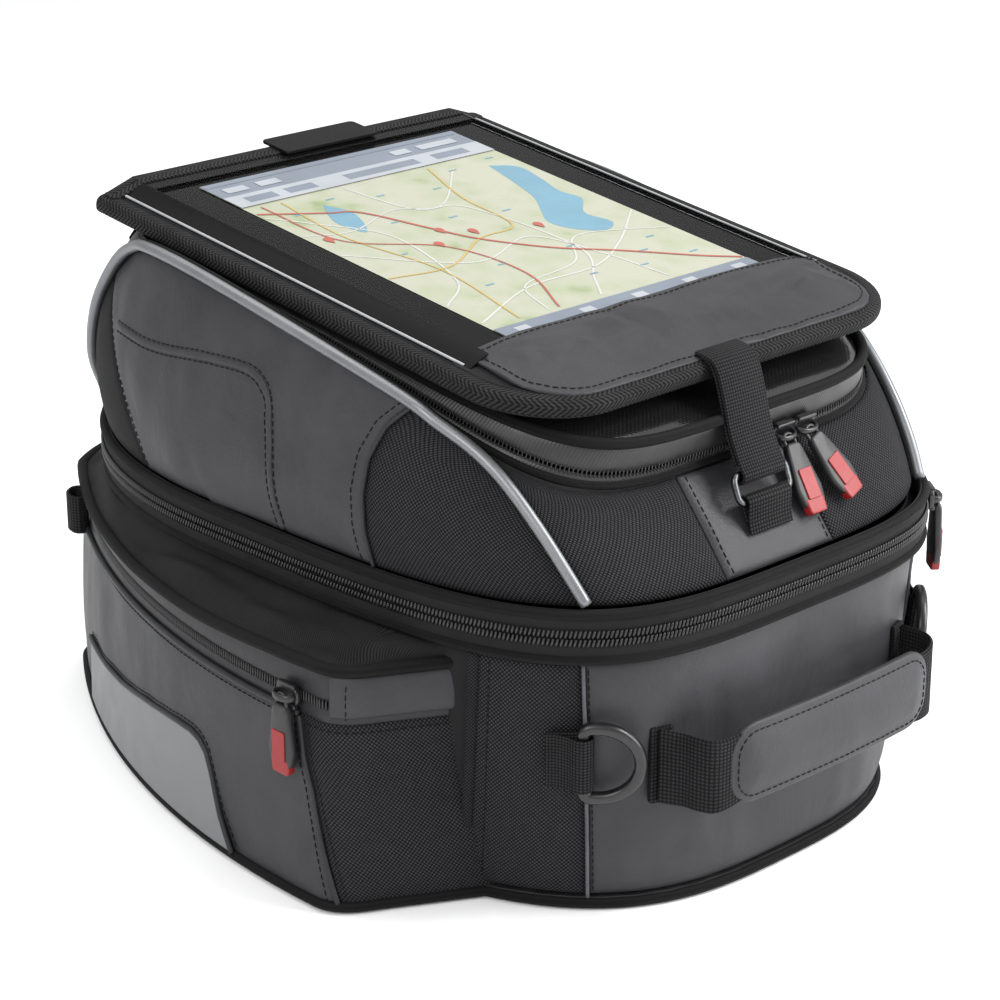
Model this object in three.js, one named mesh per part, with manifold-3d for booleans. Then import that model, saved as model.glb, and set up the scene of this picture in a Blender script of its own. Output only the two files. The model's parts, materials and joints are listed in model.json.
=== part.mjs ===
// Motorcycle tank bag: an expandable soft bag with a hinged zip lid, a map flap that holds a tablet,
// two side pockets, a grab handle and a quick lock for the tank in its base.
// Millimetres. +X rider's right, +Y forwards, +Z up. Origin: middle of the flat base.

import * as THREE from 'three';
import { mergeVertices } from 'three/addons/utils/BufferGeometryUtils.js';
import Module from 'manifold-3d';

const wasm = await Module();
wasm.setup();

// ---------- driving dimensions ----------

const GAP = 0.4;                    // air between neighbours that touch on the real bag
const WALL = 2.6;                   // padded wall panels
const MID_Y = 20;                   // widest line of every plan outline of the main shell

// Plan outlines: half width, reach to the front and to the rear of MID_Y, corner fullness front and rear.
const BASE = { half: 128, front: 170, rear: 203, squareFront: 2.1, squareRear: 3 };
const LOWER_HEAD = { half: 132, front: 168, rear: 204, squareFront: 2.2, squareRear: 3.8 };
const WAIST = { half: 135, front: 169, rear: 209, squareFront: 2.2, squareRear: 3.8 };
const UPPER_HEEL = { half: 132, front: 166, rear: 202.5, squareFront: 2.2, squareRear: 3.8 };
const RIDGE = { half: 116, front: 104, rear: 179, squareFront: 4, squareRear: 5 };
const BAND_FOOT = { half: 110.5, front: 98, rear: 178.5, squareFront: 4, squareRear: 5 };
const COIL = { half: 107.5, front: 96, rear: 180.5, squareFront: 4, squareRear: 5 };
const LID_SEAM = { half: 103, front: 94, rear: 182, squareFront: 4, squareRear: 5 };
const TOP_REAR = 160;               // where the rear drop of the top edges is full

const TRAY_THICK = 5;
const LOWER_TOP = 111.6;            // top of the lower wall panels
const TAPE_LOW = [112, 123.8];      // lower half of the expansion zip
const TAPE_HIGH = [124.2, 134];     // upper half
const UPPER_FOOT = 134.4;
const TAPE_THICK = 3.4;

// The map flap, the tablet and the lid lie in one plane that rises to the front.
const TOP_HEIGHT = 232;             // tablet face above the base at X = Y = 0
const TOP_TILT = THREE.MathUtils.degToRad(6.72);

const TABLET = { width: 185.7, length: 241.2, thick: 8.8, corner: 13, top: -0.2 };
const FLAP = { half: 112, front: 121, rear: -153, corner: 40, thick: 2.4, top: -9.6 };
const BINDING = { width: 11, top: 0.1 };
const WINDOW = { low: 0.5, thick: 0.8, rear: -100 };
const TRIM = { half: 97, front: -100.6, rear: -148, corner: 18, thick: 1.8 };
const LID = { low: -15.2, thick: 1.8, front: 108, rear: -157.5, drop: 9.4 };
const STRAP = { width: 25, thick: 2.4 };

// The side pockets: one large arc seen from above, and a slanted rear face.
const POCKET = { radius: 420, centreX: 253, centreY: -65, top: 104, lean: 4, slit: [84, 93] };
const ZIP_RUN = [-78, 140];         // ends of the pocket zip, fore and aft
const POCKET_SLIDER_Y = -68;
const LOOP_Y = 150;
const PULL_LENGTH = 31;
const WAIST_SLIDER_TURN = 222;      // degrees round the waist
const LID_SLIDER_X = [18, 31];
const CLOSURE_X = -7;               // the closing strap sits a little left of the middle
const PIPING_RADIUS = 2.4;
const PIPING_PROUD = 3.5;           // how far its middle stands off the wall

const LOCK = { y: 78, recess: 62, wall: 3, height: 20 };
const HANDLE = { x: 67, z: 66, height: 33, reach: -207, grip: 56, wall: -180.4, turn: 161.4, v: 0.57 };
const D_RING = { height: 36, width: 27, wire: 4.6, v: 0.62, turn: 143 };

// ---------- colours ----------

const material = (color, roughness, metalness = 0) =>
  new THREE.MeshStandardMaterial({ color, roughness, metalness });
const LEATHER = material(0x4b4b4f, 0.5);
const BALLISTIC = material(0x1d1d1f, 0.85);
const TWILL = material(0x161617, 0.9);
const WEBBING = material(0x1b1b1c, 0.9);
const REFLECTIVE = material(0xb4b6ba, 0.35, 0.4);
const PLASTIC = material(0x111112, 0.4);
const METAL = material(0x8f9296, 0.35, 1);
const GLOSS = material(0x0c0c10, 0.12);
const RED = material(0xd8403c, 0.5);
const CLEAR = new THREE.MeshStandardMaterial({ color: 0xe8eef0, roughness: 0.08, transparent: true, opacity: 0.25 });

// ---------- assembly groups ----------

const bag = new THREE.Group();
const topPlane = new THREE.Group();     // local X across, Y along the plane to the front, Z off the plane
topPlane.position.set(0, 0, TOP_HEIGHT);
topPlane.rotation.x = TOP_TILT;
bag.add(topPlane);

function closed(geometry) {
  const bare = geometry.index ? geometry.clone() : mergeVertices(geometry.clone());
  for (const name of Object.keys(bare.attributes)) {
    if (name !== 'position') bare.deleteAttribute(name);
  }
  return mergeVertices(bare, 1e-3);
}

function signedVolume(geometry) {
  const p = geometry.attributes.position;
  const index = geometry.index.array;
  const a = new THREE.Vector3();
  const b = new THREE.Vector3();
  const c = new THREE.Vector3();
  let sum = 0;
  for (let i = 0; i < index.length; i += 3) {
    a.fromBufferAttribute(p, index[i]);
    b.fromBufferAttribute(p, index[i + 1]);
    c.fromBufferAttribute(p, index[i + 2]);
    sum += a.dot(b.cross(c)) / 6;
  }
  return sum;
}

function facingOut(geometry) {
  if (signedVolume(geometry) < 0) {
    const index = geometry.index.array;
    for (let i = 0; i < index.length; i += 3) {
      const first = index[i];
      index[i] = index[i + 1];
      index[i + 1] = first;
    }
  }
  geometry.computeVertexNormals();
  return geometry;
}

function add(name, geometry, mat, parent = bag) {
  const mesh = new THREE.Mesh(facingOut(closed(geometry)), mat);
  mesh.name = name;
  parent.add(mesh);
  return mesh;
}

const mirrored = (geometry) => geometry.clone().scale(-1, 1, 1);

function toSolid(geometry) {
  const g = facingOut(closed(geometry));
  const mesh = new wasm.Mesh({ numProp: 3,
    vertProperties: new Float32Array(g.attributes.position.array),
    triVerts: new Uint32Array(g.index.array) });
  return new wasm.Manifold(mesh);
}

function toGeometry(solid) {
  const mesh = solid.getMesh();
  const geometry = new THREE.BufferGeometry();
  geometry.setAttribute('position', new THREE.BufferAttribute(new Float32Array(mesh.vertProperties), 3));
  geometry.setIndex(new THREE.BufferAttribute(new Uint32Array(mesh.triVerts), 1));
  return geometry;
}

// ---------- the surfaces of the bag ----------

const mix = THREE.MathUtils.lerp;
const degrees = THREE.MathUtils.degToRad;

// Turn 0 is the middle of the front, 90 degrees the left side, 180 the middle of the rear.
function planPoint(outline, turn) {
  const s = Math.sin(turn);
  const c = Math.cos(turn);
  const square = c >= 0 ? outline.squareFront : outline.squareRear;
  const reach = c >= 0 ? outline.front : outline.rear;
  const bend = (value) => Math.sign(value) * Math.abs(value) ** (2 / square);
  return new THREE.Vector2(-outline.half * bend(s), MID_Y + reach * bend(c));
}

// Height off the top plane: the lid and its zip bend down towards the rear.
function onTop(outline, turn, sideHeight, rearDrop, frontDrop = 0) {
  const p = planPoint(outline, turn);
  const back = Math.max(0, -p.y) / TOP_REAR;
  const ahead = Math.max(0, p.y - 60) / 64;
  const local = new THREE.Vector3(p.x, p.y, sideHeight - rearDrop * back * back - frontDrop * ahead * ahead);
  return local.applyAxisAngle(new THREE.Vector3(1, 0, 0), TOP_TILT).add(topPlane.position);
}

const ridge = (turn) => onTop(RIDGE, turn, -11, 33, 8);
const bandFoot = (turn) => onTop(BAND_FOOT, turn, -17.4, 25.4);
const coilLine = (turn) => onTop(COIL, turn, -16.6, 20.6);
const lidSeam = (turn) => onTop(LID_SEAM, turn, -14.8, LID.drop);

function bulged(low, high, v, swell) {
  const p = new THREE.Vector3().lerpVectors(low, high, v);
  const out = new THREE.Vector3(low.x, low.y - MID_Y, 0).normalize();
  return p.addScaledVector(out, swell * 4 * v * (1 - v));
}

function lowerWall(turn, v) {
  const foot = planPoint(BASE, turn);
  const head = planPoint(LOWER_HEAD, turn);
  const low = new THREE.Vector3(foot.x, foot.y, TRAY_THICK + GAP);
  const high = new THREE.Vector3(head.x, head.y, LOWER_TOP);
  return bulged(low, high, v, 2 * Math.abs(Math.sin(turn)));
}

function upperWall(turn, v) {
  const foot = planPoint(UPPER_HEEL, turn);
  const low = new THREE.Vector3(foot.x, foot.y, UPPER_FOOT);
  return bulged(low, ridge(turn), v, 5 * Math.abs(Math.sin(turn)) + 11 * Math.max(0, Math.cos(turn)));
}

// A wall of even thickness on the inside of a surface, between two turns and two heights.
function panel(surface, turns, heights, columns, rows, inner = -WALL, outer = 0) {
  const box = new THREE.BoxGeometry(1, 1, 1, columns, rows, 1);
  const p = box.attributes.position;
  const step = 1e-3;
  for (let i = 0; i < p.count; i++) {
    const turn = mix(turns[0], turns[1], p.getX(i) + 0.5);
    const v = mix(heights[0], heights[1], p.getY(i) + 0.5);
    const here = surface(turn, v);
    const along = surface(turn + step, v).sub(surface(turn - step, v));
    const up = surface(turn, v + step).sub(surface(turn, v - step));
    const normal = along.cross(up).normalize();
    const outward = new THREE.Vector3(here.x, here.y - MID_Y, 0);
    if (normal.dot(outward) < 0) normal.negate();
    here.addScaledVector(normal, mix(inner, outer, p.getZ(i) + 0.5));
    p.setXYZ(i, here.x, here.y, here.z);
  }
  return box;
}

function planShape(outline, grow = 0, steps = 56) {
  const sized = { ...outline, half: outline.half + grow, front: outline.front + grow, rear: outline.rear + grow };
  const points = [];
  for (let i = 0; i < steps; i++) points.push(planPoint(sized, (i / steps) * 2 * Math.PI));
  return new THREE.Shape(points);
}

const extruded = (shape, depth) => new THREE.ExtrudeGeometry(shape, { depth, bevelEnabled: false, curveSegments: 10 });

function rounded(half, low, high, corner) {
  const shape = new THREE.Shape();
  shape.moveTo(-half + corner, low).lineTo(half - corner, low);
  shape.absarc(half - corner, low + corner, corner, -Math.PI / 2, 0, false);
  shape.lineTo(half, high - corner).absarc(half - corner, high - corner, corner, 0, Math.PI / 2, false);
  shape.lineTo(-half + corner, high);
  shape.absarc(-half + corner, high - corner, corner, Math.PI / 2, Math.PI, false);
  shape.lineTo(-half, low + corner).absarc(-half + corner, low + corner, corner, Math.PI, 1.5 * Math.PI, false);
  return shape;
}

function ringBand(outline, grow, thick, z0, z1) {
  const shape = planShape(outline, grow);
  shape.holes.push(new THREE.Path(planShape(outline, grow - thick).getPoints()));
  return extruded(shape, z1 - z0).translate(0, 0, z0);
}

// The main shell below the waist as one plain solid, for trimming the pockets.
function mainVolume(grow, z0, z1) {
  const geometry = new THREE.CylinderGeometry(1, 1, 1, 56, 5);
  const p = geometry.attributes.position;
  const sized = (o) => ({ ...o, half: o.half + grow, front: o.front + grow, rear: o.rear + grow });
  for (let i = 0; i < p.count; i++) {
    const v = p.getY(i) + 0.5;
    const radius = Math.hypot(p.getX(i), p.getZ(i));
    const turn = Math.atan2(-p.getX(i), p.getZ(i));
    const height = mix(z0, z1, v);
    const share = height / LOWER_TOP;
    const foot = planPoint(sized(BASE), turn);
    const head = planPoint(sized(LOWER_HEAD), turn);
    const rim = foot.lerp(head, share);
    const swell = 1 + (8 * share * (1 - share)) / 150;
    p.setXYZ(i, rim.x * radius * swell, MID_Y + (rim.y - MID_Y) * radius * swell, height);
  }
  return geometry;
}

// ---------- lower body ----------

function baseTray() {
  const shape = planShape(BASE, 0.5);
  shape.holes.push(new THREE.Path().absarc(0, LOCK.y, LOCK.recess + LOCK.wall + 1, 0, 2 * Math.PI, true));
  return extruded(shape, TRAY_THICK);
}

function baseBoard() {
  const shape = planShape(BASE, -WALL - 8);
  shape.holes.push(new THREE.Path().absarc(0, LOCK.y, LOCK.recess + LOCK.wall + 1, 0, 2 * Math.PI, true));
  return extruded(shape, 3).translate(0, 0, TRAY_THICK + GAP);
}

// A cup, open below, that takes the ring round the tank's filler. Its flange rests on the base board.
function lockHousing() {
  const r = LOCK.recess;
  const flange = TRAY_THICK + 3 + 2 * GAP;
  const profile = [[0, LOCK.height - LOCK.wall], [r, LOCK.height - LOCK.wall], [r, 1], [r + LOCK.wall, 1],
    [r + LOCK.wall, flange], [r + 20, flange], [r + 20, flange + 3], [r + LOCK.wall, flange + 3],
    [r + LOCK.wall, LOCK.height], [0, LOCK.height]].map(([x, y]) => new THREE.Vector2(x, y));
  return new THREE.LatheGeometry(profile, 28).rotateX(Math.PI / 2).translate(0, LOCK.y, 0);
}

function lockLatch() {
  const shape = new THREE.Shape();
  shape.moveTo(-15, -9).lineTo(15, -9).lineTo(15, 3).lineTo(9, 9).lineTo(-9, 9).lineTo(-15, 3);
  return extruded(shape, 6).translate(0, LOCK.y - LOCK.recess + 17, 7);
}

add('base_tray', baseTray(), PLASTIC);
add('base_board', baseBoard(), PLASTIC);
add('lock_housing', lockHousing(), PLASTIC);
add('lock_latch', lockLatch(), RED);

// Seams between the wall panels, as turns round the bag.
const SEAM = { front: degrees(42), rear: degrees(144) };
const SLIT = degrees(0.2);
const spans = {
  front: [-SEAM.front + SLIT, SEAM.front - SLIT],
  left: [SEAM.front, SEAM.rear],
  rear: [SEAM.rear + SLIT, 2 * Math.PI - SEAM.rear - SLIT],
  right: [2 * Math.PI - SEAM.rear, 2 * Math.PI - SEAM.front],
};
const columns = { front: 16, left: 20, rear: 18, right: 20 };
const finish = { front: TWILL, left: LEATHER, rear: LEATHER, right: LEATHER };

for (const side of Object.keys(spans)) {
  add(`lower_${side}_panel`, panel(lowerWall, spans[side], [0, 1], columns[side], 3), finish[side]);
}

add('waist_tape_lower', ringBand(WAIST, 0.6, TAPE_THICK, ...TAPE_LOW), TWILL);
add('expansion_gusset', ringBand(WAIST, -11, 2, 96, 133), BALLISTIC);

// ---------- side pockets ----------

function pocketPath(inset) {
  const r = POCKET.radius - inset;
  const path = new THREE.Path();
  path.moveTo(-30, 150);
  path.lineTo(-34, 194 - inset);
  path.quadraticCurveTo(-66, 196 - inset, -86 + inset, 183 - 0.5 * inset);
  path.absarc(POCKET.centreX, POCKET.centreY, r, degrees(144.6), degrees(182.5), false);
  path.quadraticCurveTo(-166 + inset, -94 + inset, -150 + inset, -101 + inset);
  path.lineTo(-108 + inset, -124 + inset);
  path.lineTo(-60, -100);
  return path;
}

// The pocket's outer form, leaning in towards its top edge.
function pocketVolume(inset, z0, z1) {
  const shape = new THREE.Shape(pocketPath(inset).getPoints(9));
  const geometry = extruded(shape, z1 - z0).translate(0, 0, z0);
  const p = geometry.attributes.position;
  for (let i = 0; i < p.count; i++) {
    const lean = (POCKET.lean * p.getZ(i)) / POCKET.top;
    if (p.getX(i) < -80) p.setX(i, p.getX(i) + lean);
  }
  return toSolid(geometry);
}

function pocket() {
  const body = toSolid(mainVolume(1.2, -10, 130));
  const cutter = new THREE.BoxGeometry(200, ZIP_RUN[1] - ZIP_RUN[0], POCKET.slit[1] - POCKET.slit[0]);
  cutter.translate(-200, (ZIP_RUN[0] + ZIP_RUN[1]) / 2, (POCKET.slit[0] + POCKET.slit[1]) / 2);
  const hollow = pocketVolume(WALL, 3, POCKET.top - 2).subtract(toSolid(mainVolume(0, -10, 130)));
  const shell = pocketVolume(0, 0, POCKET.top).subtract(body).subtract(hollow);
  return toGeometry(shell.subtract(toSolid(cutter)));
}

// Zip chain in the slit, along the same arc.
function pocketZip() {
  const lean = (POCKET.lean * POCKET.slit[0]) / POCKET.top;
  const radius = POCKET.radius - lean;
  const angleAt = (y) => Math.PI - Math.asin((y - POCKET.centreY) / radius);
  const surface = (angle, v) => new THREE.Vector3(POCKET.centreX + radius * Math.cos(angle),
    POCKET.centreY + radius * Math.sin(angle), mix(POCKET.slit[0] + GAP, POCKET.slit[1] - GAP, v));
  return panel(surface, [angleAt(ZIP_RUN[0] + 1), angleAt(ZIP_RUN[1] - 1)], [0, 1], 16, 1, -2, -0.4);
}

const pocketGeometry = pocket();
const zipGeometry = pocketZip();
add('left_pocket', pocketGeometry, LEATHER);
add('right_pocket', mirrored(pocketGeometry), LEATHER);
add('left_pocket_zip', zipGeometry, TWILL);
add('right_pocket_zip', mirrored(zipGeometry), TWILL);

// ---------- zip sliders and pulls ----------

// Local axes: X along the chain, Y up, Z off the fabric. The pull hangs from a bridge 6.4 off the fabric.
const BRIDGE = 6.4;

function sliderBody() {
  const shape = new THREE.Shape();
  shape.moveTo(-5, -4).lineTo(4, -4).quadraticCurveTo(7, 0, 4, 4).lineTo(-5, 4).quadraticCurveTo(-7, 0, -5, -4);
  const body = new THREE.ExtrudeGeometry(shape, { depth: 3, bevelEnabled: false, curveSegments: 3 });
  const bridge = new THREE.BoxGeometry(6, 2.4, 5).translate(0, 0, 5);
  return toGeometry(toSolid(body.translate(0, 0, 1)).add(toSolid(bridge)));
}

function pullTab(length) {
  const shape = new THREE.Shape();
  shape.moveTo(-3.5, 0).lineTo(3.5, 0).lineTo(6, -length + 9).lineTo(4, -length).lineTo(-4, -length);
  shape.lineTo(-6, -length + 9);
  return extruded(shape, 2.4).translate(0, -3, -1.2);
}

function placed(origin, along, up) {
  const off = new THREE.Vector3().crossVectors(along, up).normalize();
  const group = new THREE.Group();
  group.applyMatrix4(new THREE.Matrix4().makeBasis(along, up, off).setPosition(origin));
  bag.add(group);
  return group;
}

// The slider sits on the chain; its pull leans on the fabric below, along hangUp, turned by tilt in its plane.
function zipSlider(name, origin, along, up, hangUp = up, tilt = 0) {
  const group = placed(origin, along, up);
  add(`${name}_slider`, sliderBody(), PLASTIC, group);
  const off = new THREE.Vector3().crossVectors(along, up).normalize();
  const pivot = origin.clone().addScaledVector(off, BRIDGE);
  add(`${name}_pull`, pullTab(PULL_LENGTH).rotateZ(tilt), PLASTIC, placed(pivot, along, hangUp));
}

const UP = new THREE.Vector3(0, 0, 1);
const SLIT_MIDDLE = (POCKET.slit[0] + POCKET.slit[1]) / 2;
const arcRadius = POCKET.radius - (POCKET.lean * SLIT_MIDDLE) / POCKET.top;
const arcX = Math.sqrt(arcRadius ** 2 - (POCKET_SLIDER_Y - POCKET.centreY) ** 2) - POCKET.centreX;
for (const [name, side] of [['left_pocket', -1], ['right_pocket', 1]]) {
  const origin = new THREE.Vector3(side * arcX, POCKET_SLIDER_Y, SLIT_MIDDLE);
  zipSlider(name, origin, new THREE.Vector3(0, side, 0), UP);
}

// The waist slider is parked round the right rear corner.
const waistTurn = degrees(WAIST_SLIDER_TURN);
function waistPoint(turn) {
  const p = planPoint({ ...WAIST, half: WAIST.half + 0.6, front: WAIST.front + 0.6, rear: WAIST.rear + 0.6 }, turn);
  return new THREE.Vector3(p.x, p.y, (TAPE_LOW[1] + TAPE_HIGH[0]) / 2);
}
const waistAlong = waistPoint(waistTurn + 0.01).sub(waistPoint(waistTurn - 0.01)).normalize();
zipSlider('waist', waistPoint(waistTurn), waistAlong, UP);

// ---------- grab handle and rings ----------

// Frame on the lower wall: X to the rear along the wall, Y up it, Z off it.
function wallFrame(turn, v) {
  const tangent = lowerWall(turn + 0.03, v).sub(lowerWall(turn - 0.03, v)).normalize();
  const rise = lowerWall(turn, v + 0.1).sub(lowerWall(turn, v - 0.1));
  const off = new THREE.Vector3().crossVectors(tangent, rise).normalize();
  const up = new THREE.Vector3().crossVectors(off, tangent);
  return new THREE.Matrix4().makeBasis(tangent, up, off).setPosition(lowerWall(turn, v));
}

// One webbing leg, narrow where it folds at the wall and full height at the grip.
function handleLeg() {
  const path = new THREE.Shape();
  const x = HANDLE.x;
  const start = HANDLE.wall - 10;
  path.moveTo(x, start).lineTo(x + 2.4, start);
  path.quadraticCurveTo(x + 2, HANDLE.reach + 6, x - 9, HANDLE.reach + 3.4);
  path.lineTo(x - 9, HANDLE.reach + 5.8);
  path.quadraticCurveTo(x, HANDLE.reach + 7, x, start);
  const body = extruded(path, HANDLE.height).translate(0, 0, HANDLE.z - HANDLE.height / 2);
  const p = body.attributes.position;
  for (let i = 0; i < p.count; i++) {
    const away = Math.min(1, (start - p.getY(i)) / 10);
    p.setZ(i, HANDLE.z + (p.getZ(i) - HANDLE.z) * mix(0.42, 1, away));
  }
  return body;
}

function handleGrip() {
  const shape = new THREE.Shape();
  const end = HANDLE.grip;
  shape.moveTo(-end + 5, -17).lineTo(end - 5, -17).quadraticCurveTo(end, -17, end, -12).lineTo(end, 12);
  shape.quadraticCurveTo(end, 17, end - 5, 17).lineTo(-end + 5, 17).quadraticCurveTo(-end, 17, -end, 12);
  shape.lineTo(-end, -12).quadraticCurveTo(-end, -17, -end + 5, -17);
  const body = extruded(shape, 7).rotateX(Math.PI / 2);
  return body.translate(0, HANDLE.reach + 7, HANDLE.z);
}

const patch = new THREE.BoxGeometry(16, HANDLE.height, 1.8).translate(0, 0, 1.9);
patch.applyMatrix4(wallFrame(degrees(HANDLE.turn), HANDLE.v));
add('handle_patch_left', patch, WEBBING);
add('handle_patch_right', mirrored(patch), WEBBING);
add('handle_leg_left', mirrored(handleLeg()), WEBBING);
add('handle_leg_right', handleLeg(), WEBBING);
add('handle_grip', handleGrip(), LEATHER);

// A ring with one straight bar, upright on the wall. Local axes: X away from its tab, Y up, Z off the wall.
function dRing() {
  const half = D_RING.height / 2;
  const w = D_RING.wire;
  const shape = new THREE.Shape();
  shape.moveTo(0, -half).lineTo(D_RING.width - half, -half);
  shape.absarc(D_RING.width - half, 0, half, -Math.PI / 2, Math.PI / 2, false);
  shape.lineTo(0, half);
  const hole = new THREE.Path();
  hole.moveTo(w, -half + w).lineTo(D_RING.width - half, -half + w);
  hole.absarc(D_RING.width - half, 0, half - w, -Math.PI / 2, Math.PI / 2, false);
  hole.lineTo(w, half - w);
  shape.holes.push(hole);
  return new THREE.ExtrudeGeometry(shape, { depth: w, bevelEnabled: false, curveSegments: 8 });
}

const ringFrame = wallFrame(degrees(D_RING.turn), D_RING.v);
const ring = dRing().translate(0, 0, 3.8).applyMatrix4(ringFrame);
const ringTab = new THREE.BoxGeometry(15, 24, 1.8).translate(-9.5, 0, 2.8).applyMatrix4(ringFrame);
add('d_ring_left', ring, PLASTIC);
add('d_ring_right', mirrored(ring), PLASTIC);
add('d_ring_tab_left', ringTab, WEBBING);
add('d_ring_tab_right', mirrored(ringTab), WEBBING);

// A webbing loop at the front end of each pocket zip, standing off the pocket's arc.
function frontLoop() {
  const radius = POCKET.radius + 2 * GAP;
  const lean = (POCKET.lean * SLIT_MIDDLE) / POCKET.top;
  const angle = Math.PI - Math.asin((LOOP_Y - POCKET.centreY) / radius);
  const shape = new THREE.Shape();
  shape.moveTo(0, -9).lineTo(2, -9).quadraticCurveTo(12, 0, 2, 9).lineTo(0, 9);
  const hole = new THREE.Path();
  hole.moveTo(1.8, -6.4).lineTo(1.8, 6.4).quadraticCurveTo(8.4, 0, 1.8, -6.4);
  shape.holes.push(hole);
  const off = new THREE.Vector3(Math.cos(angle), Math.sin(angle), 0);
  const frame = new THREE.Matrix4().makeBasis(off, UP, new THREE.Vector3().crossVectors(off, UP));
  frame.setPosition(POCKET.centreX + lean + radius * off.x, POCKET.centreY + radius * off.y, SLIT_MIDDLE);
  return extruded(shape, 14).translate(0, 0, -7).applyMatrix4(frame);
}
add('front_loop_left', frontLoop(), WEBBING);
add('front_loop_right', mirrored(frontLoop()), WEBBING);

// ---------- upper body ----------

for (const side of Object.keys(spans)) {
  add(`upper_${side}_panel`, panel(upperWall, spans[side], [0, 0.985], columns[side], 4), finish[side]);
}
add('waist_tape_upper', ringBand(WAIST, 0.6, TAPE_THICK, ...TAPE_HIGH), TWILL);

// Reflective piping: up the front quarter, along the ridge, then down the rear corner to the waist.
// Each stop is a turn round the bag and a share of the wall's height.
const PIPING_ROUTE = [[36, 0.04], [41, 0.3], [47, 0.6], [54, 0.84], [64, 0.96], [76, 1], [90, 1], [102, 1],
  [112, 1], [120, 0.99], [127, 0.93], [133, 0.8], [138.5, 0.58], [142.5, 0.32], [145.5, 0.05]];
function piping() {
  const points = PIPING_ROUTE.map(([turn, v]) => {
    const p = upperWall(degrees(turn), v);
    const off = new THREE.Vector3(p.x, p.y - MID_Y, 0).normalize();
    return p.addScaledVector(off, PIPING_PROUD);
  });
  const curve = new THREE.CatmullRomCurve3(points, false, 'centripetal');
  const around = new THREE.Shape().absarc(0, 0, PIPING_RADIUS, 0, 2 * Math.PI, false);
  return new THREE.ExtrudeGeometry(around, { steps: 40, extrudePath: curve, curveSegments: 3 });
}
add('piping_left', piping(), REFLECTIVE);
add('piping_right', mirrored(piping()), REFLECTIVE);

const between = (low, high) => (turn, v) => low(turn).lerp(high(turn), v);
const lidSpan = [degrees(58), degrees(302)];
add('lid_tape_lower', panel(between(bandFoot, coilLine), lidSpan, [0.02, 0.97], 34, 1, -1.6, 0), TWILL);

function hingeStrip() {
  const plate = extruded(planShape(RIDGE, -6), LID.thick).translate(0, 0, LID.low);
  const knife = new THREE.BoxGeometry(400, 400, 60).translate(0, LID.front - 200 + 1.2, LID.low);
  return toGeometry(toSolid(plate).subtract(toSolid(knife)));
}
add('lid_hinge_strip', hingeStrip(), TWILL, topPlane);

// The leather patch lies on the rear wall: X across, Y up the wall, Z off it.
const ACROSS = new THREE.Vector3(1, 0, 0);
const rearFoot = upperWall(Math.PI, 0);
rearFoot.x = CLOSURE_X;
const rearUp = upperWall(Math.PI, 1).sub(rearFoot).setX(0).normalize();
const patchFrame = placed(rearFoot, ACROSS, rearUp);
add('closure_patch', new THREE.BoxGeometry(62, 38, 1.4).translate(0, 22, 1.3), LEATHER, patchFrame);

// The tab, the ring and the strap's end hang in one line, steeper than the wall.
const CLOSURE = { foot: new THREE.Vector3(CLOSURE_X, -176.6, 147.4), up: new THREE.Vector3(0, 0.366, 0.9306), tab: 10 };
const closureFrame = placed(CLOSURE.foot, ACROSS, CLOSURE.up);
const tabPlate = new THREE.BoxGeometry(STRAP.width, CLOSURE.tab, 2);
add('closure_tab', tabPlate.translate(0, CLOSURE.tab / 2, 0), WEBBING, closureFrame);

function closureRing() {
  const shape = rounded(16.5, 0, 14, 2);
  shape.holes.push(new THREE.Path(rounded(13.5, 2.6, 11.4, 1).getPoints(3)));
  return new THREE.ExtrudeGeometry(shape, { depth: 2.4, bevelEnabled: false, curveSegments: 3 });
}
add('closure_ring', closureRing().translate(0, CLOSURE.tab + 0.5, -1.2), METAL, closureFrame);

// ---------- lid ----------

// The glossy top sheet bends down at the rear like the seam round it.
function lidSheet() {
  const sheet = new THREE.BoxGeometry(1, 1, LID.thick, 8, 16, 1);
  const p = sheet.attributes.position;
  for (let i = 0; i < p.count; i++) {
    const y = mix(LID.rear, LID.front, p.getY(i) + 0.5);
    const front = y > MID_Y;
    const reach = front ? LID_SEAM.front : LID_SEAM.rear;
    const square = front ? LID_SEAM.squareFront : LID_SEAM.squareRear;
    const half = LID_SEAM.half * (1 - (Math.abs(y - MID_Y) / reach) ** square) ** (1 / square) - 2.8;
    const back = Math.max(0, -y) / TOP_REAR;
    const height = LID.low + LID.thick / 2 + p.getZ(i) - LID.drop * back * back;
    p.setXYZ(i, 2 * half * p.getX(i), y, height);
  }
  return sheet;
}
add('lid_panel', lidSheet(), GLOSS, topPlane);
add('lid_tape_upper', panel(between(coilLine, lidSeam), lidSpan, [0.04, 0.97], 34, 1, -1.6, 0), TWILL);

function lidSlider(name, x, tilt) {
  const turnAt = Math.PI + Math.asin((x / COIL.half) ** (COIL.squareRear / 2));
  const origin = coilLine(turnAt);
  const up = lidSeam(turnAt).sub(bandFoot(turnAt)).setX(0).normalize();
  const rest = new THREE.Vector3(0, 0.523, 0.852);
  zipSlider(name, origin, new THREE.Vector3(1, 0, 0), up, rest, tilt);
}
lidSlider('lid_left', LID_SLIDER_X[0], 0);
lidSlider('lid_right', LID_SLIDER_X[1], degrees(20));

// ---------- map flap ----------

// Outline of the flap in the top plane, square at the open front, rounded at the rear.
function flapShape(grow, front = FLAP.front, path = new THREE.Shape()) {
  const x = FLAP.half + grow;
  const rear = FLAP.rear - grow;
  const r = FLAP.corner + grow;
  path.moveTo(-x, front).lineTo(-x, rear + r).absarc(-x + r, rear + r, r, Math.PI, 1.5 * Math.PI, false);
  path.lineTo(x - r, rear).absarc(x - r, rear + r, r, 1.5 * Math.PI, 2 * Math.PI, false);
  path.lineTo(x, front);
  return path;
}

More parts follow.
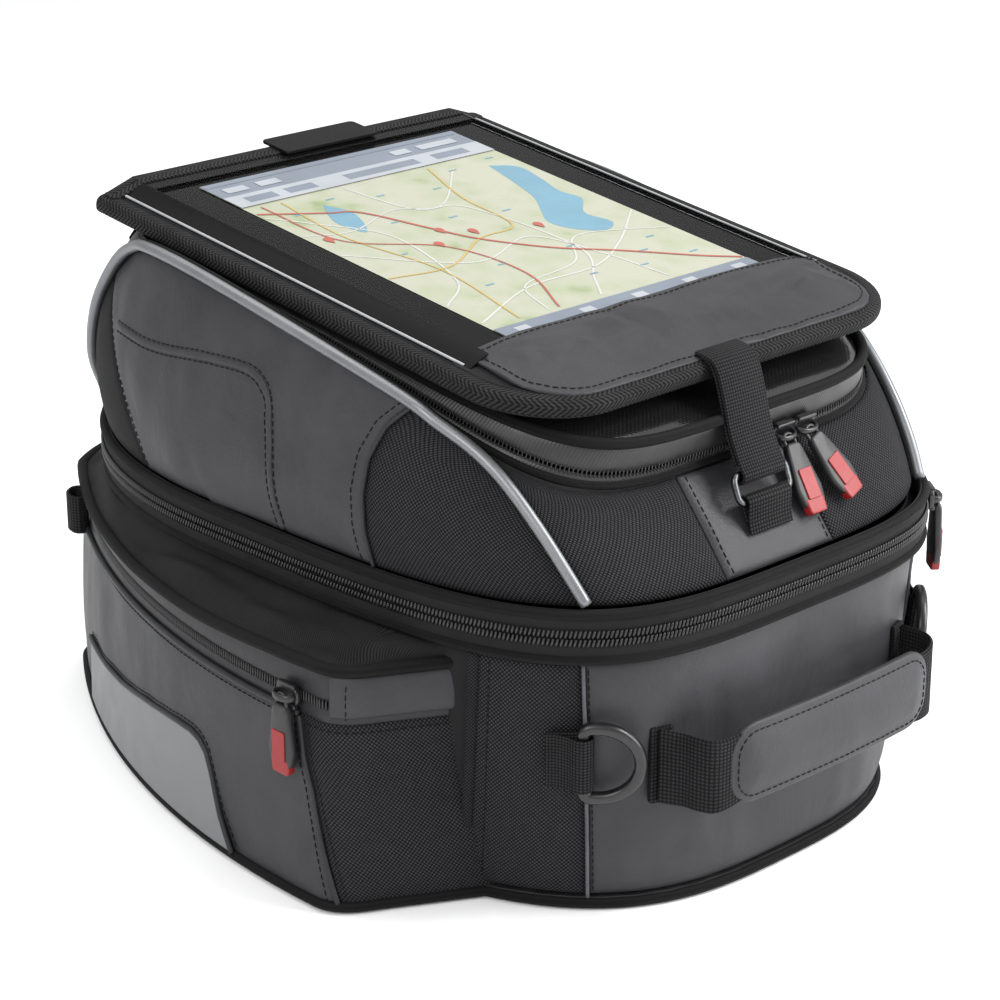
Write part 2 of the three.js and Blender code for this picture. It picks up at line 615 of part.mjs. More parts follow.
function flapBinding() {
  const inner = toSolid(extruded(flapShape(-BINDING.width, FLAP.front + 5), 40).translate(0, 0, -20));
  const height = BINDING.top - FLAP.top - GAP;
  const outer = toSolid(extruded(flapShape(0), height).translate(0, 0, FLAP.top + GAP));
  return toGeometry(outer.subtract(inner));
}

add('flap_base', extruded(flapShape(0), FLAP.thick).translate(0, 0, FLAP.top - FLAP.thick), BALLISTIC, topPlane);
add('flap_binding', flapBinding(), WEBBING, topPlane);

const windowShape = new THREE.Shape();
windowShape.moveTo(-FLAP.half, FLAP.front).lineTo(-FLAP.half, WINDOW.rear);
windowShape.lineTo(FLAP.half, WINDOW.rear).lineTo(FLAP.half, FLAP.front);
add('flap_window', extruded(windowShape, WINDOW.thick).translate(0, 0, WINDOW.low), CLEAR, topPlane);

const trimShape = rounded(TRIM.half, TRIM.rear, TRIM.front, TRIM.corner);
add('flap_trim', extruded(trimShape, TRIM.thick).translate(0, 0, WINDOW.low), LEATHER, topPlane);

// The closing strap leaves the trim, bends over the flap's rear edge and runs down to the ring.
function closureStrap() {
  const end = CLOSURE.foot.clone().addScaledVector(CLOSURE.up, CLOSURE.tab + 15.4);
  const stops = [[-148.6, 216.6], [-153.2, 215.2], [-156, 208], [-159, 197], [-162.8, 184], [end.y, end.z]];
  const run = new THREE.CatmullRomCurve3(stops.map(([y, z]) => new THREE.Vector3(y, 0, z)));
  const centre = run.getPoints(14);
  const outline = [];
  const back = [];
  centre.forEach((point, i) => {
    const before = centre[Math.max(0, i - 1)];
    const after = centre[Math.min(centre.length - 1, i + 1)];
    const normal = new THREE.Vector2(-(after.z - before.z), after.x - before.x).normalize();
    outline.push(new THREE.Vector2(point.x, point.z).addScaledVector(normal, STRAP.thick / 2));
    back.unshift(new THREE.Vector2(point.x, point.z).addScaledVector(normal, -STRAP.thick / 2));
  });
  const strip = extruded(new THREE.Shape([...outline, ...back]), STRAP.width);
  const basis = new THREE.Matrix4().makeBasis(new THREE.Vector3(0, 1, 0), UP, new THREE.Vector3(1, 0, 0));
  return strip.applyMatrix4(basis.setPosition(CLOSURE_X - STRAP.width / 2, 0, 0));
}
add('closure_strap', closureStrap(), WEBBING);

const tabletShape = rounded(TABLET.width / 2, -TABLET.length / 2, TABLET.length / 2, TABLET.corner);
add('tablet', extruded(tabletShape, TABLET.thick).translate(0, 0, TABLET.top - TABLET.thick), GLOSS, topPlane);
add('front_tab', new THREE.BoxGeometry(54, 19, 1.6).translate(10, 117.5, 2.5), BALLISTIC, topPlane);

export default bag;
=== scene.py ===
"""Looks of the motorcycle tank bag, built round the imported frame.

Lengths are in millimetres in this script and become metres where a mesh is made.
Axes are the frame's: +X the rider's right, +Y forwards, +Z up.
"""
import json
import math

import bmesh
import bpy
import numpy as np
from mathutils import Matrix, Vector, noise


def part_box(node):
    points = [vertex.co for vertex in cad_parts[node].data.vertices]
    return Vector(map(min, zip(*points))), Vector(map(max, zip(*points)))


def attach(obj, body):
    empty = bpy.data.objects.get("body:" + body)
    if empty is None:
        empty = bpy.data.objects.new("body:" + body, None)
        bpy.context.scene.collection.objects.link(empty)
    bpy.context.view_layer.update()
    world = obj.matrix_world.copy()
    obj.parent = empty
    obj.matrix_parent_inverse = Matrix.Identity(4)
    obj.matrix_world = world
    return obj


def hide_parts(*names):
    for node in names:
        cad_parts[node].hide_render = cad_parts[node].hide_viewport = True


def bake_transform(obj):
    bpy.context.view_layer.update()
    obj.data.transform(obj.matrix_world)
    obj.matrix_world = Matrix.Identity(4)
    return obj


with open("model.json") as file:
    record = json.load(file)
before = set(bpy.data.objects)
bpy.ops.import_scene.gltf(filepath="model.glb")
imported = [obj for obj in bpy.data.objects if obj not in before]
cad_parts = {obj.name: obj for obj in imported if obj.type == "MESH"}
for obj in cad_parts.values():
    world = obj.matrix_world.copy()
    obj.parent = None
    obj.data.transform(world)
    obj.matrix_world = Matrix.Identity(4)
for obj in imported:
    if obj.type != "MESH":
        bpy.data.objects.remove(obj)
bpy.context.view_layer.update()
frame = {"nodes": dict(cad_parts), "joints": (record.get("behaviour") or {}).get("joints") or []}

MM = 0.001
TINY = 1e-9
FULL = 2 * math.pi
UP = np.array([0.0, 0.0, 1.0])
SIDES = (("left", False), ("right", True))       # the right side is the left one mirrored


def box(node):
    """Lowest and highest corner of a CAD node, in millimetres."""
    low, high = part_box(node)
    return np.array(low) / MM, np.array(high) / MM


def joint(name):
    return next(j for j in frame["joints"] if j["name"] == name)


# ---------- driving dimensions, read from the frame ----------

MID_Y = 20.0                     # widest line of the shell's plan outlines
BULGE_SIDE, BULGE_FRONT, LOWER_BULGE = 5.0, 11.0, 2.0
PIPING_OFF, PIPING_RADIUS = 3.5, 2.4
WAIST_Z = (box("waist_tape_lower")[1][2] + box("waist_tape_upper")[0][2]) / 2
LOWER_Z = (box("base_board")[0][2], box("lower_left_panel")[1][2])
UPPER_FOOT = box("waist_tape_upper")[1][2] + 0.4
SLIDE = joint("tablet_slide")["axis"]
TILT = math.atan2(-SLIDE[2], -SLIDE[1])          # slope of the map flap and lid
UP_THE_TOP = (0, math.cos(TILT), math.sin(TILT))
OFF_THE_TOP = np.array([0, -math.sin(TILT), math.cos(TILT)])
TABLET_LOW, TABLET_HIGH = box("tablet")
TABLET_HALF = TABLET_HIGH[0]
TABLET_THICK = 8.8
TABLET_LENGTH = (TABLET_HIGH[1] - TABLET_LOW[1] - TABLET_THICK * math.sin(TILT)) / math.cos(TILT)
TOP_HEIGHT = (TABLET_LOW[2] + TABLET_HIGH[2]) / 2 + (0.2 + TABLET_THICK / 2) * math.cos(TILT)
FLAP_HALF = box("flap_base")[1][0]
FLAP_FRONT, FLAP_REAR, FLAP_CORNER = 121.0, -153.0, 40.0
CLOSURE_X = (box("closure_strap")[0][0] + box("closure_strap")[1][0]) / 2


def outline(node, square_front, square_rear, inset=0.0):
    """Plan outline that fits a CAD node's box: half width, reach to front and rear, corner fullness."""
    low, high = box(node)
    return {"half": high[0] - inset, "front": high[1] - MID_Y - inset, "rear": MID_Y - low[1] - inset,
            "square": (square_front, square_rear)}


def sized(half, front, rear, square_front, square_rear):
    return {"half": half, "front": front, "rear": rear, "square": (square_front, square_rear)}


BASE = outline("base_tray", 2.1, 3.0, 0.5)
WAIST = outline("waist_tape_lower", 2.2, 3.8)
LOWER_HEAD = outline("waist_tape_lower", 2.2, 3.8, 3.6)
LOWER_HEAD["rear"] -= 2
HEEL = sized(box("upper_right_panel")[1][0], box("upper_front_panel")[1][1] - MID_Y,
             MID_Y - box("upper_rear_panel")[0][1], 2.2, 3.8)
RIDGE_HALF = box("piping_right")[1][0] - PIPING_OFF - PIPING_RADIUS
RIDGE = sized(RIDGE_HALF, RIDGE_HALF - 12, 179, 4, 5)
BAND_FOOT = sized(RIDGE_HALF - 5.5, RIDGE_HALF - 18, 178.5, 4, 5)
COIL = sized(RIDGE_HALF - 8.5, RIDGE_HALF - 20, 180.5, 4, 5)
LID_SEAM = sized(RIDGE_HALF - 13, RIDGE_HALF - 22, 182, 4, 5)
TOP_REAR = 160.0


# ---------- surfaces ----------

def unit(vectors):
    return vectors / np.linalg.norm(vectors, axis=-1, keepdims=True)


def outward_of(points):
    """Level directions from the bag's middle to each point."""
    return unit((points - [0, MID_Y, 0]) * [1, 1, 0])


def lengths(points, axis):
    """Distance run along a path, or along one axis of a grid of points."""
    step = np.linalg.norm(np.diff(points, axis=axis), axis=-1)
    start = np.zeros_like(np.take(step, [0], axis=axis))
    return np.concatenate([start, np.cumsum(step, axis=axis)], axis=axis)


def plan(o, turn):
    """Point of a plan outline. Turn 0 is the middle of the front, 90 degrees the left side."""
    s, c = np.sin(turn), np.cos(turn)
    square = np.where(c >= 0, *o["square"])
    reach = np.where(c >= 0, o["front"], o["rear"])
    x = -o["half"] * np.sign(s) * np.abs(s) ** (2 / square)
    y = MID_Y + reach * np.sign(c) * np.abs(c) ** (2 / square)
    return x, y


def top(x, w, h):
    """Point given across, along and off the sloping top plane."""
    x, w, h = np.broadcast_arrays(np.asarray(x, float), w, h)
    c, s = math.cos(TILT), math.sin(TILT)
    return np.stack([x, w * c - h * s, TOP_HEIGHT + w * s + h * c], -1)


def on_top(o, turn, side, rear_drop, front_drop=0.0):
    """A plan outline laid on the sloping top: side is its height there, and it drops towards both ends."""
    x, y = plan(o, turn)
    back = np.maximum(0, -y) / TOP_REAR
    ahead = np.maximum(0, y - 60) / 64
    return top(x, y, side - rear_drop * back ** 2 - front_drop * ahead ** 2)


def ridge(turn):
    return on_top(RIDGE, turn, -11, 33, 8)


def band_foot(turn):
    return on_top(BAND_FOOT, turn, -17.4, 25.4)


def coil_line(turn):
    return on_top(COIL, turn, -16.6, 20.6)


def lid_seam(turn):
    return on_top(LID_SEAM, turn, -14.8, 9.4)


def wall(low, high, v, swell):
    """Point of a wall at share v of the way from its low to its high edge, bulged by swell half way up."""
    v = np.asarray(v, float)[..., None]
    return low + (high - low) * v + outward_of(low) * swell[..., None] * 4 * v * (1 - v)


def at_height(o, turn, z):
    x, y = plan(o, turn)
    return np.stack([x, y, np.full(np.shape(x), float(z))], -1)


def lower_wall(turn, v):
    turn, v = np.broadcast_arrays(np.asarray(turn, float), v)
    swell = LOWER_BULGE * np.abs(np.sin(turn))
    return wall(at_height(BASE, turn, LOWER_Z[0]), at_height(LOWER_HEAD, turn, LOWER_Z[1]), v, swell)


def upper_wall(turn, v):
    turn, v = np.broadcast_arrays(np.asarray(turn, float), v)
    swell = BULGE_SIDE * np.abs(np.sin(turn)) + BULGE_FRONT * np.maximum(0, np.cos(turn))
    return wall(at_height(HEEL, turn, UPPER_FOOT), ridge(turn), v, swell)


POCKET_TOP = box("left_pocket")[1][2]
POCKET_RADIUS, POCKET_CENTRE = 420.0, np.array([253.0, -65.0])
POCKET_LEAN = 4.0


def pocket_plan():
    """The left pocket's outline from above, front to rear, as close-set points."""
    def quad(a, b, c, n):
        t = np.linspace(0, 1, n)[:, None]
        return (1 - t) ** 2 * a + 2 * t * (1 - t) * b + t ** 2 * c
    arc = np.radians(np.linspace(144.6, 182.5, 120))
    side = POCKET_CENTRE + POCKET_RADIUS * np.stack([np.cos(arc), np.sin(arc)], -1)
    nose = quad(np.array([-34.0, 194]), np.array([-66.0, 196]), side[0], 24)
    corner = quad(side[-1], np.array([-166.0, -94]), np.array([-150.0, -101]), 12)
    tail = np.linspace(corner[-1], [-106.0, -125.0], 20)
    return np.vstack([nose[:-1], side, corner[1:], tail[1:]])


POCKET_PLAN = pocket_plan()
POCKET_RUN = lengths(POCKET_PLAN, 0)
POCKET_LENGTH = POCKET_RUN[-1]


def pocket_wall(s, z):
    """Left pocket's outer face: s is the distance along it from its front end, z the height."""
    s, z = np.broadcast_arrays(np.asarray(s, float), z)
    x = np.interp(s, POCKET_RUN, POCKET_PLAN[:, 0]) + POCKET_LEAN * z / POCKET_TOP
    return np.stack([x, np.interp(s, POCKET_RUN, POCKET_PLAN[:, 1]), z], -1)


def pocket_at(y):
    """Distance along the pocket's face where it is y forward."""
    return np.interp(-np.asarray(y, float), -POCKET_PLAN[:, 1], POCKET_RUN)


def turn_at(surface, v, y, low=40.0, high=176.0):
    """Turn on the left side where a wall at share v of its height is y forward."""
    turns = np.radians(np.linspace(low, high, 400))
    ys = surface(turns, np.full(turns.shape, v))[:, 1]
    return np.interp(-y, -ys, turns)


# ---------- mesh helpers ----------

def new_piece(name, points, faces, material, body=None, uv=None, smooth=True, replaces=(), slot=None):
    """A mesh object in the frame, with its material. The slot argument is not used."""
    mesh = bpy.data.meshes.new(name)
    mesh.from_pydata((np.asarray(points) * MM).tolist(), [], [list(map(int, f)) for f in faces])
    mesh.materials.append(material)
    if smooth:
        mesh.polygons.foreach_set("use_smooth", [True] * len(mesh.polygons))
    if uv is not None:
        layer = mesh.uv_layers.new(name="UVMap")
        loops = np.zeros(len(mesh.loops), int)
        mesh.loops.foreach_get("vertex_index", loops)
        layer.data.foreach_set("uv", (np.asarray(uv)[loops] * MM).ravel())
    mesh.update()
    piece = bpy.data.objects.new(name, mesh)
    bpy.context.scene.collection.objects.link(piece)
    if body:
        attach(piece, body)
    if replaces:
        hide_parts(*replaces)
    return piece


def grid_faces(rows, columns, wrap_columns=False, flip=False):
    faces = []
    for i in range(rows - 1):
        for j in range(columns if wrap_columns else columns - 1):
            k = (j + 1) % columns
            face = [i * columns + j, i * columns + k, (i + 1) * columns + k, (i + 1) * columns + j]
            faces.append(face[::-1] if flip else face)
    return faces


def normals_of(points):
    du, dv = np.gradient(points, axis=1), np.gradient(points, axis=0)
    n = np.cross(du, dv)
    return n / np.maximum(np.linalg.norm(n, axis=-1, keepdims=True), TINY)


def noise_at(points, scale, seed=0.0):
    flat = points.reshape(-1, 3)
    values = [noise.noise(Vector((p[0] / scale + seed, p[1] / scale, p[2] / scale))) for p in flat]
    return np.array(values).reshape(points.shape[:-1])


EDGE_ROWS = (0.0, 0.3, 0.9, 1.9, 3.4)


def crowded(length, step):
    """Shares of a length, set close near both ends so that an edge can be rolled."""
    near = np.array(EDGE_ROWS) / length
    count = max(3, int(round(length / step)))
    return np.concatenate([near, np.linspace(near[-1], 1 - near[-1], count)[1:-1], 1 - near[::-1]])


def rolled(distance, sink, puff, reach=14.0):
    """Height of a padded panel over its base surface, from the distance to its nearest edge."""
    radius = EDGE_ROWS[-1]
    inside = np.clip(distance / radius, 0, 1)
    return sink * (np.sqrt(1 - (1 - inside) ** 2) - 1) + puff * (1 - np.exp(-distance / reach))


def patch(name, surface, left, right, low, high, material, body, step=4.0, puff=1.0, sink=1.8, lift=0.0,
          wrinkle=0.25, outward=None, replaces=(), mirror=False):
    """A sewn panel on a surface between two side lines, left(v) and right(v), and two heights."""
    mid = (low + high) / 2
    across = surface(np.linspace(left(mid), right(mid), 60), np.full(60, mid))
    upwards = surface(np.full(60, (left(mid) + right(mid)) / 2), np.linspace(low, high, 60))
    shares_s = crowded(lengths(across[None], 1)[0, -1], step)
    shares_v = crowded(lengths(upwards[None], 1)[0, -1], step)
    v = low + (high - low) * shares_v[:, None] * np.ones_like(shares_s)
    ends = np.array([[left(q), right(q)] for q in v[:, 0]])
    s = ends[:, :1] * (1 - shares_s) + ends[:, 1:] * shares_s
    base = surface(s, v)
    n = normals_of(base)
    flip = np.sum(n * (outward_of(base) if outward is None else outward)) < 0
    n = -n if flip else n
    along, up = lengths(base, 1), lengths(base, 0)
    distance = np.minimum(np.minimum(along, along[:, -1:] - along), np.minimum(up, up[-1:] - up))
    inner = np.clip(distance / 12, 0, 1)
    ripple = noise_at(base, 38) + 0.5 * noise_at(base * [1, 1, 0.45], 13, 5)
    points = base + n * (lift + rolled(distance, sink, puff) + wrinkle * 2 * ripple * inner)[..., None]
    if mirror:
        points = points * [-1, 1, 1]
        flip = not flip
    return new_piece(name, points.reshape(-1, 3), grid_faces(*points.shape[:2], flip=flip), material, body,
                     np.stack([along, up], -1).reshape(-1, 2), replaces=replaces)


def frames_along(path, normals, closed=False):
    if closed:
        tangent = np.roll(path, -1, 0) - np.roll(path, 1, 0)
    else:
        tangent = np.gradient(path, axis=0)
    tangent = unit(tangent)
    n = normals - tangent * np.sum(normals * tangent, 1, keepdims=True)
    n /= np.maximum(np.linalg.norm(n, axis=1, keepdims=True), TINY)
    return tangent, n, np.cross(tangent, n)


def sweep(path, normals, profile, closed=False):
    """Points, faces and UVs of a closed profile (off the surface, across it) swept along a path."""
    path, profile = np.asarray(path, float), np.asarray(profile, float)
    normals = np.broadcast_to(np.asarray(normals, float), path.shape)
    _, n, b = frames_along(path, normals, closed)
    points = path[:, None] + n[:, None] * profile[:, :1] + b[:, None] * profile[:, 1:]
    rows, columns = points.shape[:2]
    uv = np.stack(np.meshgrid(lengths(path, 0), lengths(profile, 0), indexing="ij"), -1).reshape(-1, 2)
    faces = grid_faces(rows, columns, wrap_columns=True, flip=True)
    if closed:
        last = (rows - 1) * columns
        faces += [[last + (j + 1) % columns, last + j, j, (j + 1) % columns] for j in range(columns)]
    else:
        faces.append(list(range(columns)))
        faces.append([(rows - 1) * columns + j for j in range(columns)][::-1])
    return points.reshape(-1, 3), faces, uv


def circle(radius, sides=10):
    a = np.linspace(0, FULL, sides, endpoint=False)
    return radius * np.stack([np.cos(a), np.sin(a)], -1)


def strip(thick, width, bevel=0.5):
    """Rounded flat profile: thick off the surface, width across it."""
    t, w, r = thick / 2, width / 2, min(bevel, thick / 2.01)
    corners = [(t - r, w), (t, w - r), (t, 0), (t, -w + r), (t - r, -w), (-t + r, -w), (-t, -w + r), (-t, 0),
               (-t, w - r), (-t + r, w)]
    return np.array(corners)


def merge(parts):
    """Joins (points, faces, uv) parts into one."""
    faces, start = [], 0
    for points, part_faces, _ in parts:
        faces += [[start + i for i in face] for face in part_faces]
        start += len(points)
    return np.vstack([part[0] for part in parts]), faces, np.vstack([part[2] for part in parts])


def swept_piece(name, path, normals, profile, material, body, closed=False, mirror=False, **more):
    points, faces, uv = sweep(path, normals, profile, closed)
    if mirror:
        points = points * [-1, 1, 1]
        faces = [f[::-1] for f in faces]
    return new_piece(name, points, faces, material, body, uv, **more)


def smooth_path(stops, count):
    """Even points on a Catmull-Rom curve through the stops."""
    stops = np.asarray(stops, float)
    ends = np.vstack([2 * stops[0] - stops[1], stops, 2 * stops[-1] - stops[-2]])
    out = []
    for i in range(1, len(ends) - 2):
        p0, p1, p2, p3 = ends[i - 1:i + 3]
        for t in np.linspace(0, 1, 24, endpoint=False):
            out.append(0.5 * (2 * p1 + (p2 - p0) * t + (2 * p0 - 5 * p1 + 4 * p2 - p3) * t ** 2
                              + (3 * p1 - p0 - 3 * p2 + p3) * t ** 3))
    out.append(stops[-1])
    out = np.array(out)
    run = lengths(out, 0)
    even = np.linspace(0, run[-1], count)
    return np.stack([np.interp(even, run, out[:, k]) for k in range(out.shape[1])], -1)


def placed_many(template, faces, frames):
    """One mesh from a template repeated at frames (origin, x, y, z)."""
    template = np.asarray(template)
    points = [o + template[:, :1] * x + template[:, 1:2] * y + template[:, 2:] * z for o, x, y, z in frames]
    every = [[i * len(template) + k for k in face] for i in range(len(frames)) for face in faces]
    return np.vstack(points), every


def capsule(length, radius, sides=6):
    """A short rounded bar along X, as points and faces."""
    stations = [(-0.5, 0.0), (-0.42, 0.75), (-0.15, 1.0), (0.15, 1.0), (0.42, 0.75), (0.5, 0.0)]
    angles = np.linspace(0, FULL, sides, endpoint=False)
    points = [(x * length, r * radius * math.cos(a), r * radius * math.sin(a))
              for x, r in stations[1:-1] for a in angles]
    faces = grid_faces(4, sides, wrap_columns=True, flip=True)
    first, last = len(points), len(points) + 1
    points += [(-0.5 * length, 0, 0), (0.5 * length, 0, 0)]
    faces += [[first, k, (k + 1) % sides] for k in range(sides)]
    faces += [[last, 3 * sides + (k + 1) % sides, 3 * sides + k] for k in range(sides)]
    return np.array(points), faces


STITCHES = {}
STITCH_PITCH, STITCH_LENGTH, STITCH_RADIUS, STITCH_LIFT = 3.3, 2.5, 0.3, 0.12


def stitch(path, target, body, mirror=False):
    """Lays a row of stitches along a path, on the surface of the target piece."""
    path = np.asarray(path, float)
    run = lengths(path, 0)
    stops = np.arange(STITCH_PITCH / 2, run[-1], STITCH_PITCH)
    row = np.stack([np.interp(stops, run, path[:, k]) for k in range(3)], -1)
    if mirror:
        row = row * [-1, 1, 1]
    found = [target.closest_point_on_mesh(Vector(p * MM)) for p in row]
    centres = np.array([f[1] for f in found]) / MM
    off = np.array([f[2] for f in found])
    if len(centres) < 3:
        return
    t, n, b = frames_along(centres, off)
    STITCHES.setdefault(body, []).extend(zip(centres + n * STITCH_LIFT, t, b, n))


# ---------- materials ----------

CLOTH_SHINE = 0.16


def new_material(name):
    mat = bpy.data.materials.new(name)
    mat.use_nodes = True
    return mat, mat.node_tree.nodes["Principled BSDF"]


def node(mat, kind, inputs=None, **props):
    made = mat.node_tree.nodes.new("ShaderNode" + kind)
    for key, value in props.items():
        setattr(made, key, value)
    for key, value in (inputs or {}).items():
        if isinstance(value, bpy.types.NodeSocket):
            mat.node_tree.links.new(value, made.inputs[key])
        else:
            made.inputs[key].default_value = value
    return made


def calc(mat, operation, a, b=0.0, c=0.0):
    return node(mat, "Math", {0: a, 1: b, 2: c}, operation=operation).outputs[0]


def ramp(mat, factor, *stops):
    made = node(mat, "ValToRGB", {"Fac": factor})
    elements = made.color_ramp.elements
    for i, (place, value) in enumerate(stops):
        element = elements[i] if i < 2 else elements.new(place)
        element.position = place
        element.color = (*value, 1) if isinstance(value, tuple) else (value, value, value, 1)
    return made.outputs["Color"]


def ramped(mat, shader, socket, factor, *stops):
    tied(mat, shader.inputs[socket], ramp(mat, factor, *stops))


def place(mat, kind="Object"):
    return node(mat, "TexCoord").outputs[kind]


def mottle(mat, scale, detail, roughness=0.5, distortion=0.0):
    """Soft noise over the object, between 0 and 1."""
    inputs = {"Vector": place(mat), "Scale": scale, "Detail": detail, "Roughness": roughness,
              "Distortion": distortion}
    return node(mat, "TexNoise", inputs).outputs["Fac"]


def wave(mat, factor, half_turns):
    """A sine that goes through this many half turns for each whole thread."""
    return calc(mat, "SINE", calc(mat, "MULTIPLY", factor, half_turns * math.pi))


def weave_axes(mat, pitch_mm):
    """Coordinates along and across the cloth, in whole threads."""
    threads = node(mat, "Mapping", {"Vector": place(mat, "UV"), "Scale": (1 / (pitch_mm * MM),) * 3})
    split = node(mat, "SeparateXYZ", {"Vector": threads.outputs[0]})
    return split.outputs["X"], split.outputs["Y"]


def tied(mat, target, source):
    mat.node_tree.links.new(source, target)


def bumped(mat, shader, height, depth_mm, strength=1.0):
    bump = node(mat, "Bump", {"Height": height, "Distance": depth_mm * MM, "Strength": strength})
    tied(mat, shader.inputs["Normal"], bump.outputs[0])


def leather(name, dark=0.019, light=0.034, grain=1100.0):
    """Coated leather: fine pitted grain, broad creases, and a tone that wanders."""
    mat, shader = new_material(name)
    cells = node(mat, "TexVoronoi", {"Vector": place(mat), "Scale": grain}, feature="DISTANCE_TO_EDGE")
    soft = mottle(mat, 34.0, 4, roughness=0.6)
    fine = mottle(mat, grain * 0.6, 3)
    ramped(mat, shader, "Base Color", soft, (0.3, (dark, dark, dark * 1.13)),
           (0.72, (light, light, light * 1.12)))
    ramped(mat, shader, "Roughness", soft, (0.25, 0.4), (0.75, 0.56))
    pits = calc(mat, "MINIMUM", calc(mat, "MULTIPLY", cells.outputs["Distance"], 6.0), 1.0)
    relief = calc(mat, "MULTIPLY_ADD", fine, 0.7, pits)
    creases = mottle(mat, 26.0, 5, roughness=0.62, distortion=0.8)
    relief = calc(mat, "MULTIPLY_ADD", creases, 18.0, relief)
    bumped(mat, shader, relief, 0.09, 0.5)
    shader.inputs["Specular IOR Level"].default_value = 0.3
    return mat


def plain_weave(name, pitch, slanted, light):
    """Plain weave of thick threads: each crossing is a raised dot, in staggered rows when it is slanted."""
    mat, shader = new_material(name)
    u, v = weave_axes(mat, pitch)
    if slanted:
        u, v = calc(mat, "ADD", u, v), calc(mat, "SUBTRACT", u, v)
    height = calc(mat, "ABSOLUTE", calc(mat, "MULTIPLY", wave(mat, u, 1), wave(mat, v, 1)))
    uneven = mottle(mat, 240.0, 2)
    shade = calc(mat, "MULTIPLY", height, calc(mat, "MULTIPLY_ADD", uneven, 0.5, 0.75))
    ramped(mat, shader, "Base Color", shade, (0.1, 0.002), (0.95, (light, light, light * 1.13)))
    ramped(mat, shader, "Roughness", height, (0.0, 0.9), (1.0, 0.55))
    bumped(mat, shader, height, 0.35, 0.9)
    shader.inputs["Specular IOR Level"].default_value = CLOTH_SHINE
    return mat


def twill(name, pitch, light):
    """Twill cloth: slanting lines with finer threads across them."""
    mat, shader = new_material(name)
    u, v = weave_axes(mat, pitch)
    line = wave(mat, calc(mat, "ADD", u, v), 2)
    thread = wave(mat, calc(mat, "SUBTRACT", u, v), 3)
    height = calc(mat, "MULTIPLY_ADD", line, 0.4, calc(mat, "MULTIPLY_ADD", thread, 0.12, 0.5))
    uneven = mottle(mat, 60.0, 3)
    shade = calc(mat, "MULTIPLY", height, calc(mat, "ADD", uneven, 0.5))
    ramped(mat, shader, "Base Color", shade, (0.1, 0.002), (0.9, (light, light, light * 1.05)))
    shader.inputs["Roughness"].default_value = 0.78
    bumped(mat, shader, height, 0.22, 0.8)
    shader.inputs["Specular IOR Level"].default_value = CLOTH_SHINE
    return mat


def herringbone(name, rib, zigzag, light):
    """Herringbone webbing: ribs along the band whose slant turns over at each zigzag."""
    mat, shader = new_material(name)
    u, v = weave_axes(mat, rib)
    fold = calc(mat, "PINGPONG", v, zigzag / rib)
    rib_wave = wave(mat, calc(mat, "ADD", u, fold), 2)
    cross = wave(mat, v, 3.2)
    height = calc(mat, "MULTIPLY_ADD", rib_wave, 0.42, calc(mat, "MULTIPLY_ADD", cross, 0.14, 0.5))
    uneven = mottle(mat, 150.0, 2)
    shade = calc(mat, "MULTIPLY", height, calc(mat, "ADD", uneven, 0.45))
    ramped(mat, shader, "Base Color", shade, (0.15, 0.0015), (0.95, (light, light, light * 1.03)))
    ramped(mat, shader, "Roughness", height, (0.0, 0.9), (1.0, 0.62))
    bumped(mat, shader, height, 0.4, 0.9)
    shader.inputs["Specular IOR Level"].default_value = CLOTH_SHINE
    return mat


def reflective(name, colour=(0.2, 0.205, 0.215), metal=0.6):
    """Grey cloth coated with fine glass beads."""
    mat, shader = new_material(name)
    beads = node(mat, "TexVoronoi", {"Vector": place(mat), "Scale": 2600.0})
    soft = mottle(mat, 70.0, 4)
    shade = calc(mat, "MULTIPLY_ADD", soft, 0.5, calc(mat, "MULTIPLY", beads.outputs["Distance"], 0.5))
    dim = tuple(0.72 * c for c in colour)
    ramped(mat, shader, "Base Color", shade, (0.2, dim), (0.7, colour))
    ramped(mat, shader, "Roughness", soft, (0.3, 0.34), (0.7, 0.48))
    bumped(mat, shader, beads.outputs["Distance"], 0.05, 0.3)
    shader.inputs["Metallic"].default_value = metal
    return mat


def moulded(name, colour, rough, wear):
    """Moulded plastic or paint: fine spark texture, paler and rougher where it is scuffed."""
    mat, shader = new_material(name)
    spark = mottle(mat, 1500.0, 2)
    scuff = mottle(mat, 90.0, 6, roughness=0.7)
    worn = tuple(c + wear for c in colour)
    ramped(mat, shader, "Base Color", scuff, (0.45, colour), (0.8, worn))
    ramped(mat, shader, "Roughness", scuff, (0.3, rough), (0.75, rough + 0.16))
    bumped(mat, shader, spark, 0.03, 0.35)
    return mat


def metal(name, colour):
    """Drawn metal with fine streaks."""
    mat, shader = new_material(name)
    drawn_out = node(mat, "Mapping", {"Vector": place(mat), "Scale": (60, 60, 1400)}).outputs[0]
    streak = node(mat, "TexNoise", {"Vector": drawn_out, "Scale": 1.0, "Detail": 3.0}).outputs["Fac"]
    ramped(mat, shader, "Base Color", streak, (0.3, tuple(0.7 * c for c in colour)), (0.7, colour))
    ramped(mat, shader, "Roughness", streak, (0.3, 0.28), (0.7, 0.42))
    bumped(mat, shader, streak, 0.02, 0.3)
    shader.inputs["Metallic"].default_value = 1.0
    return mat


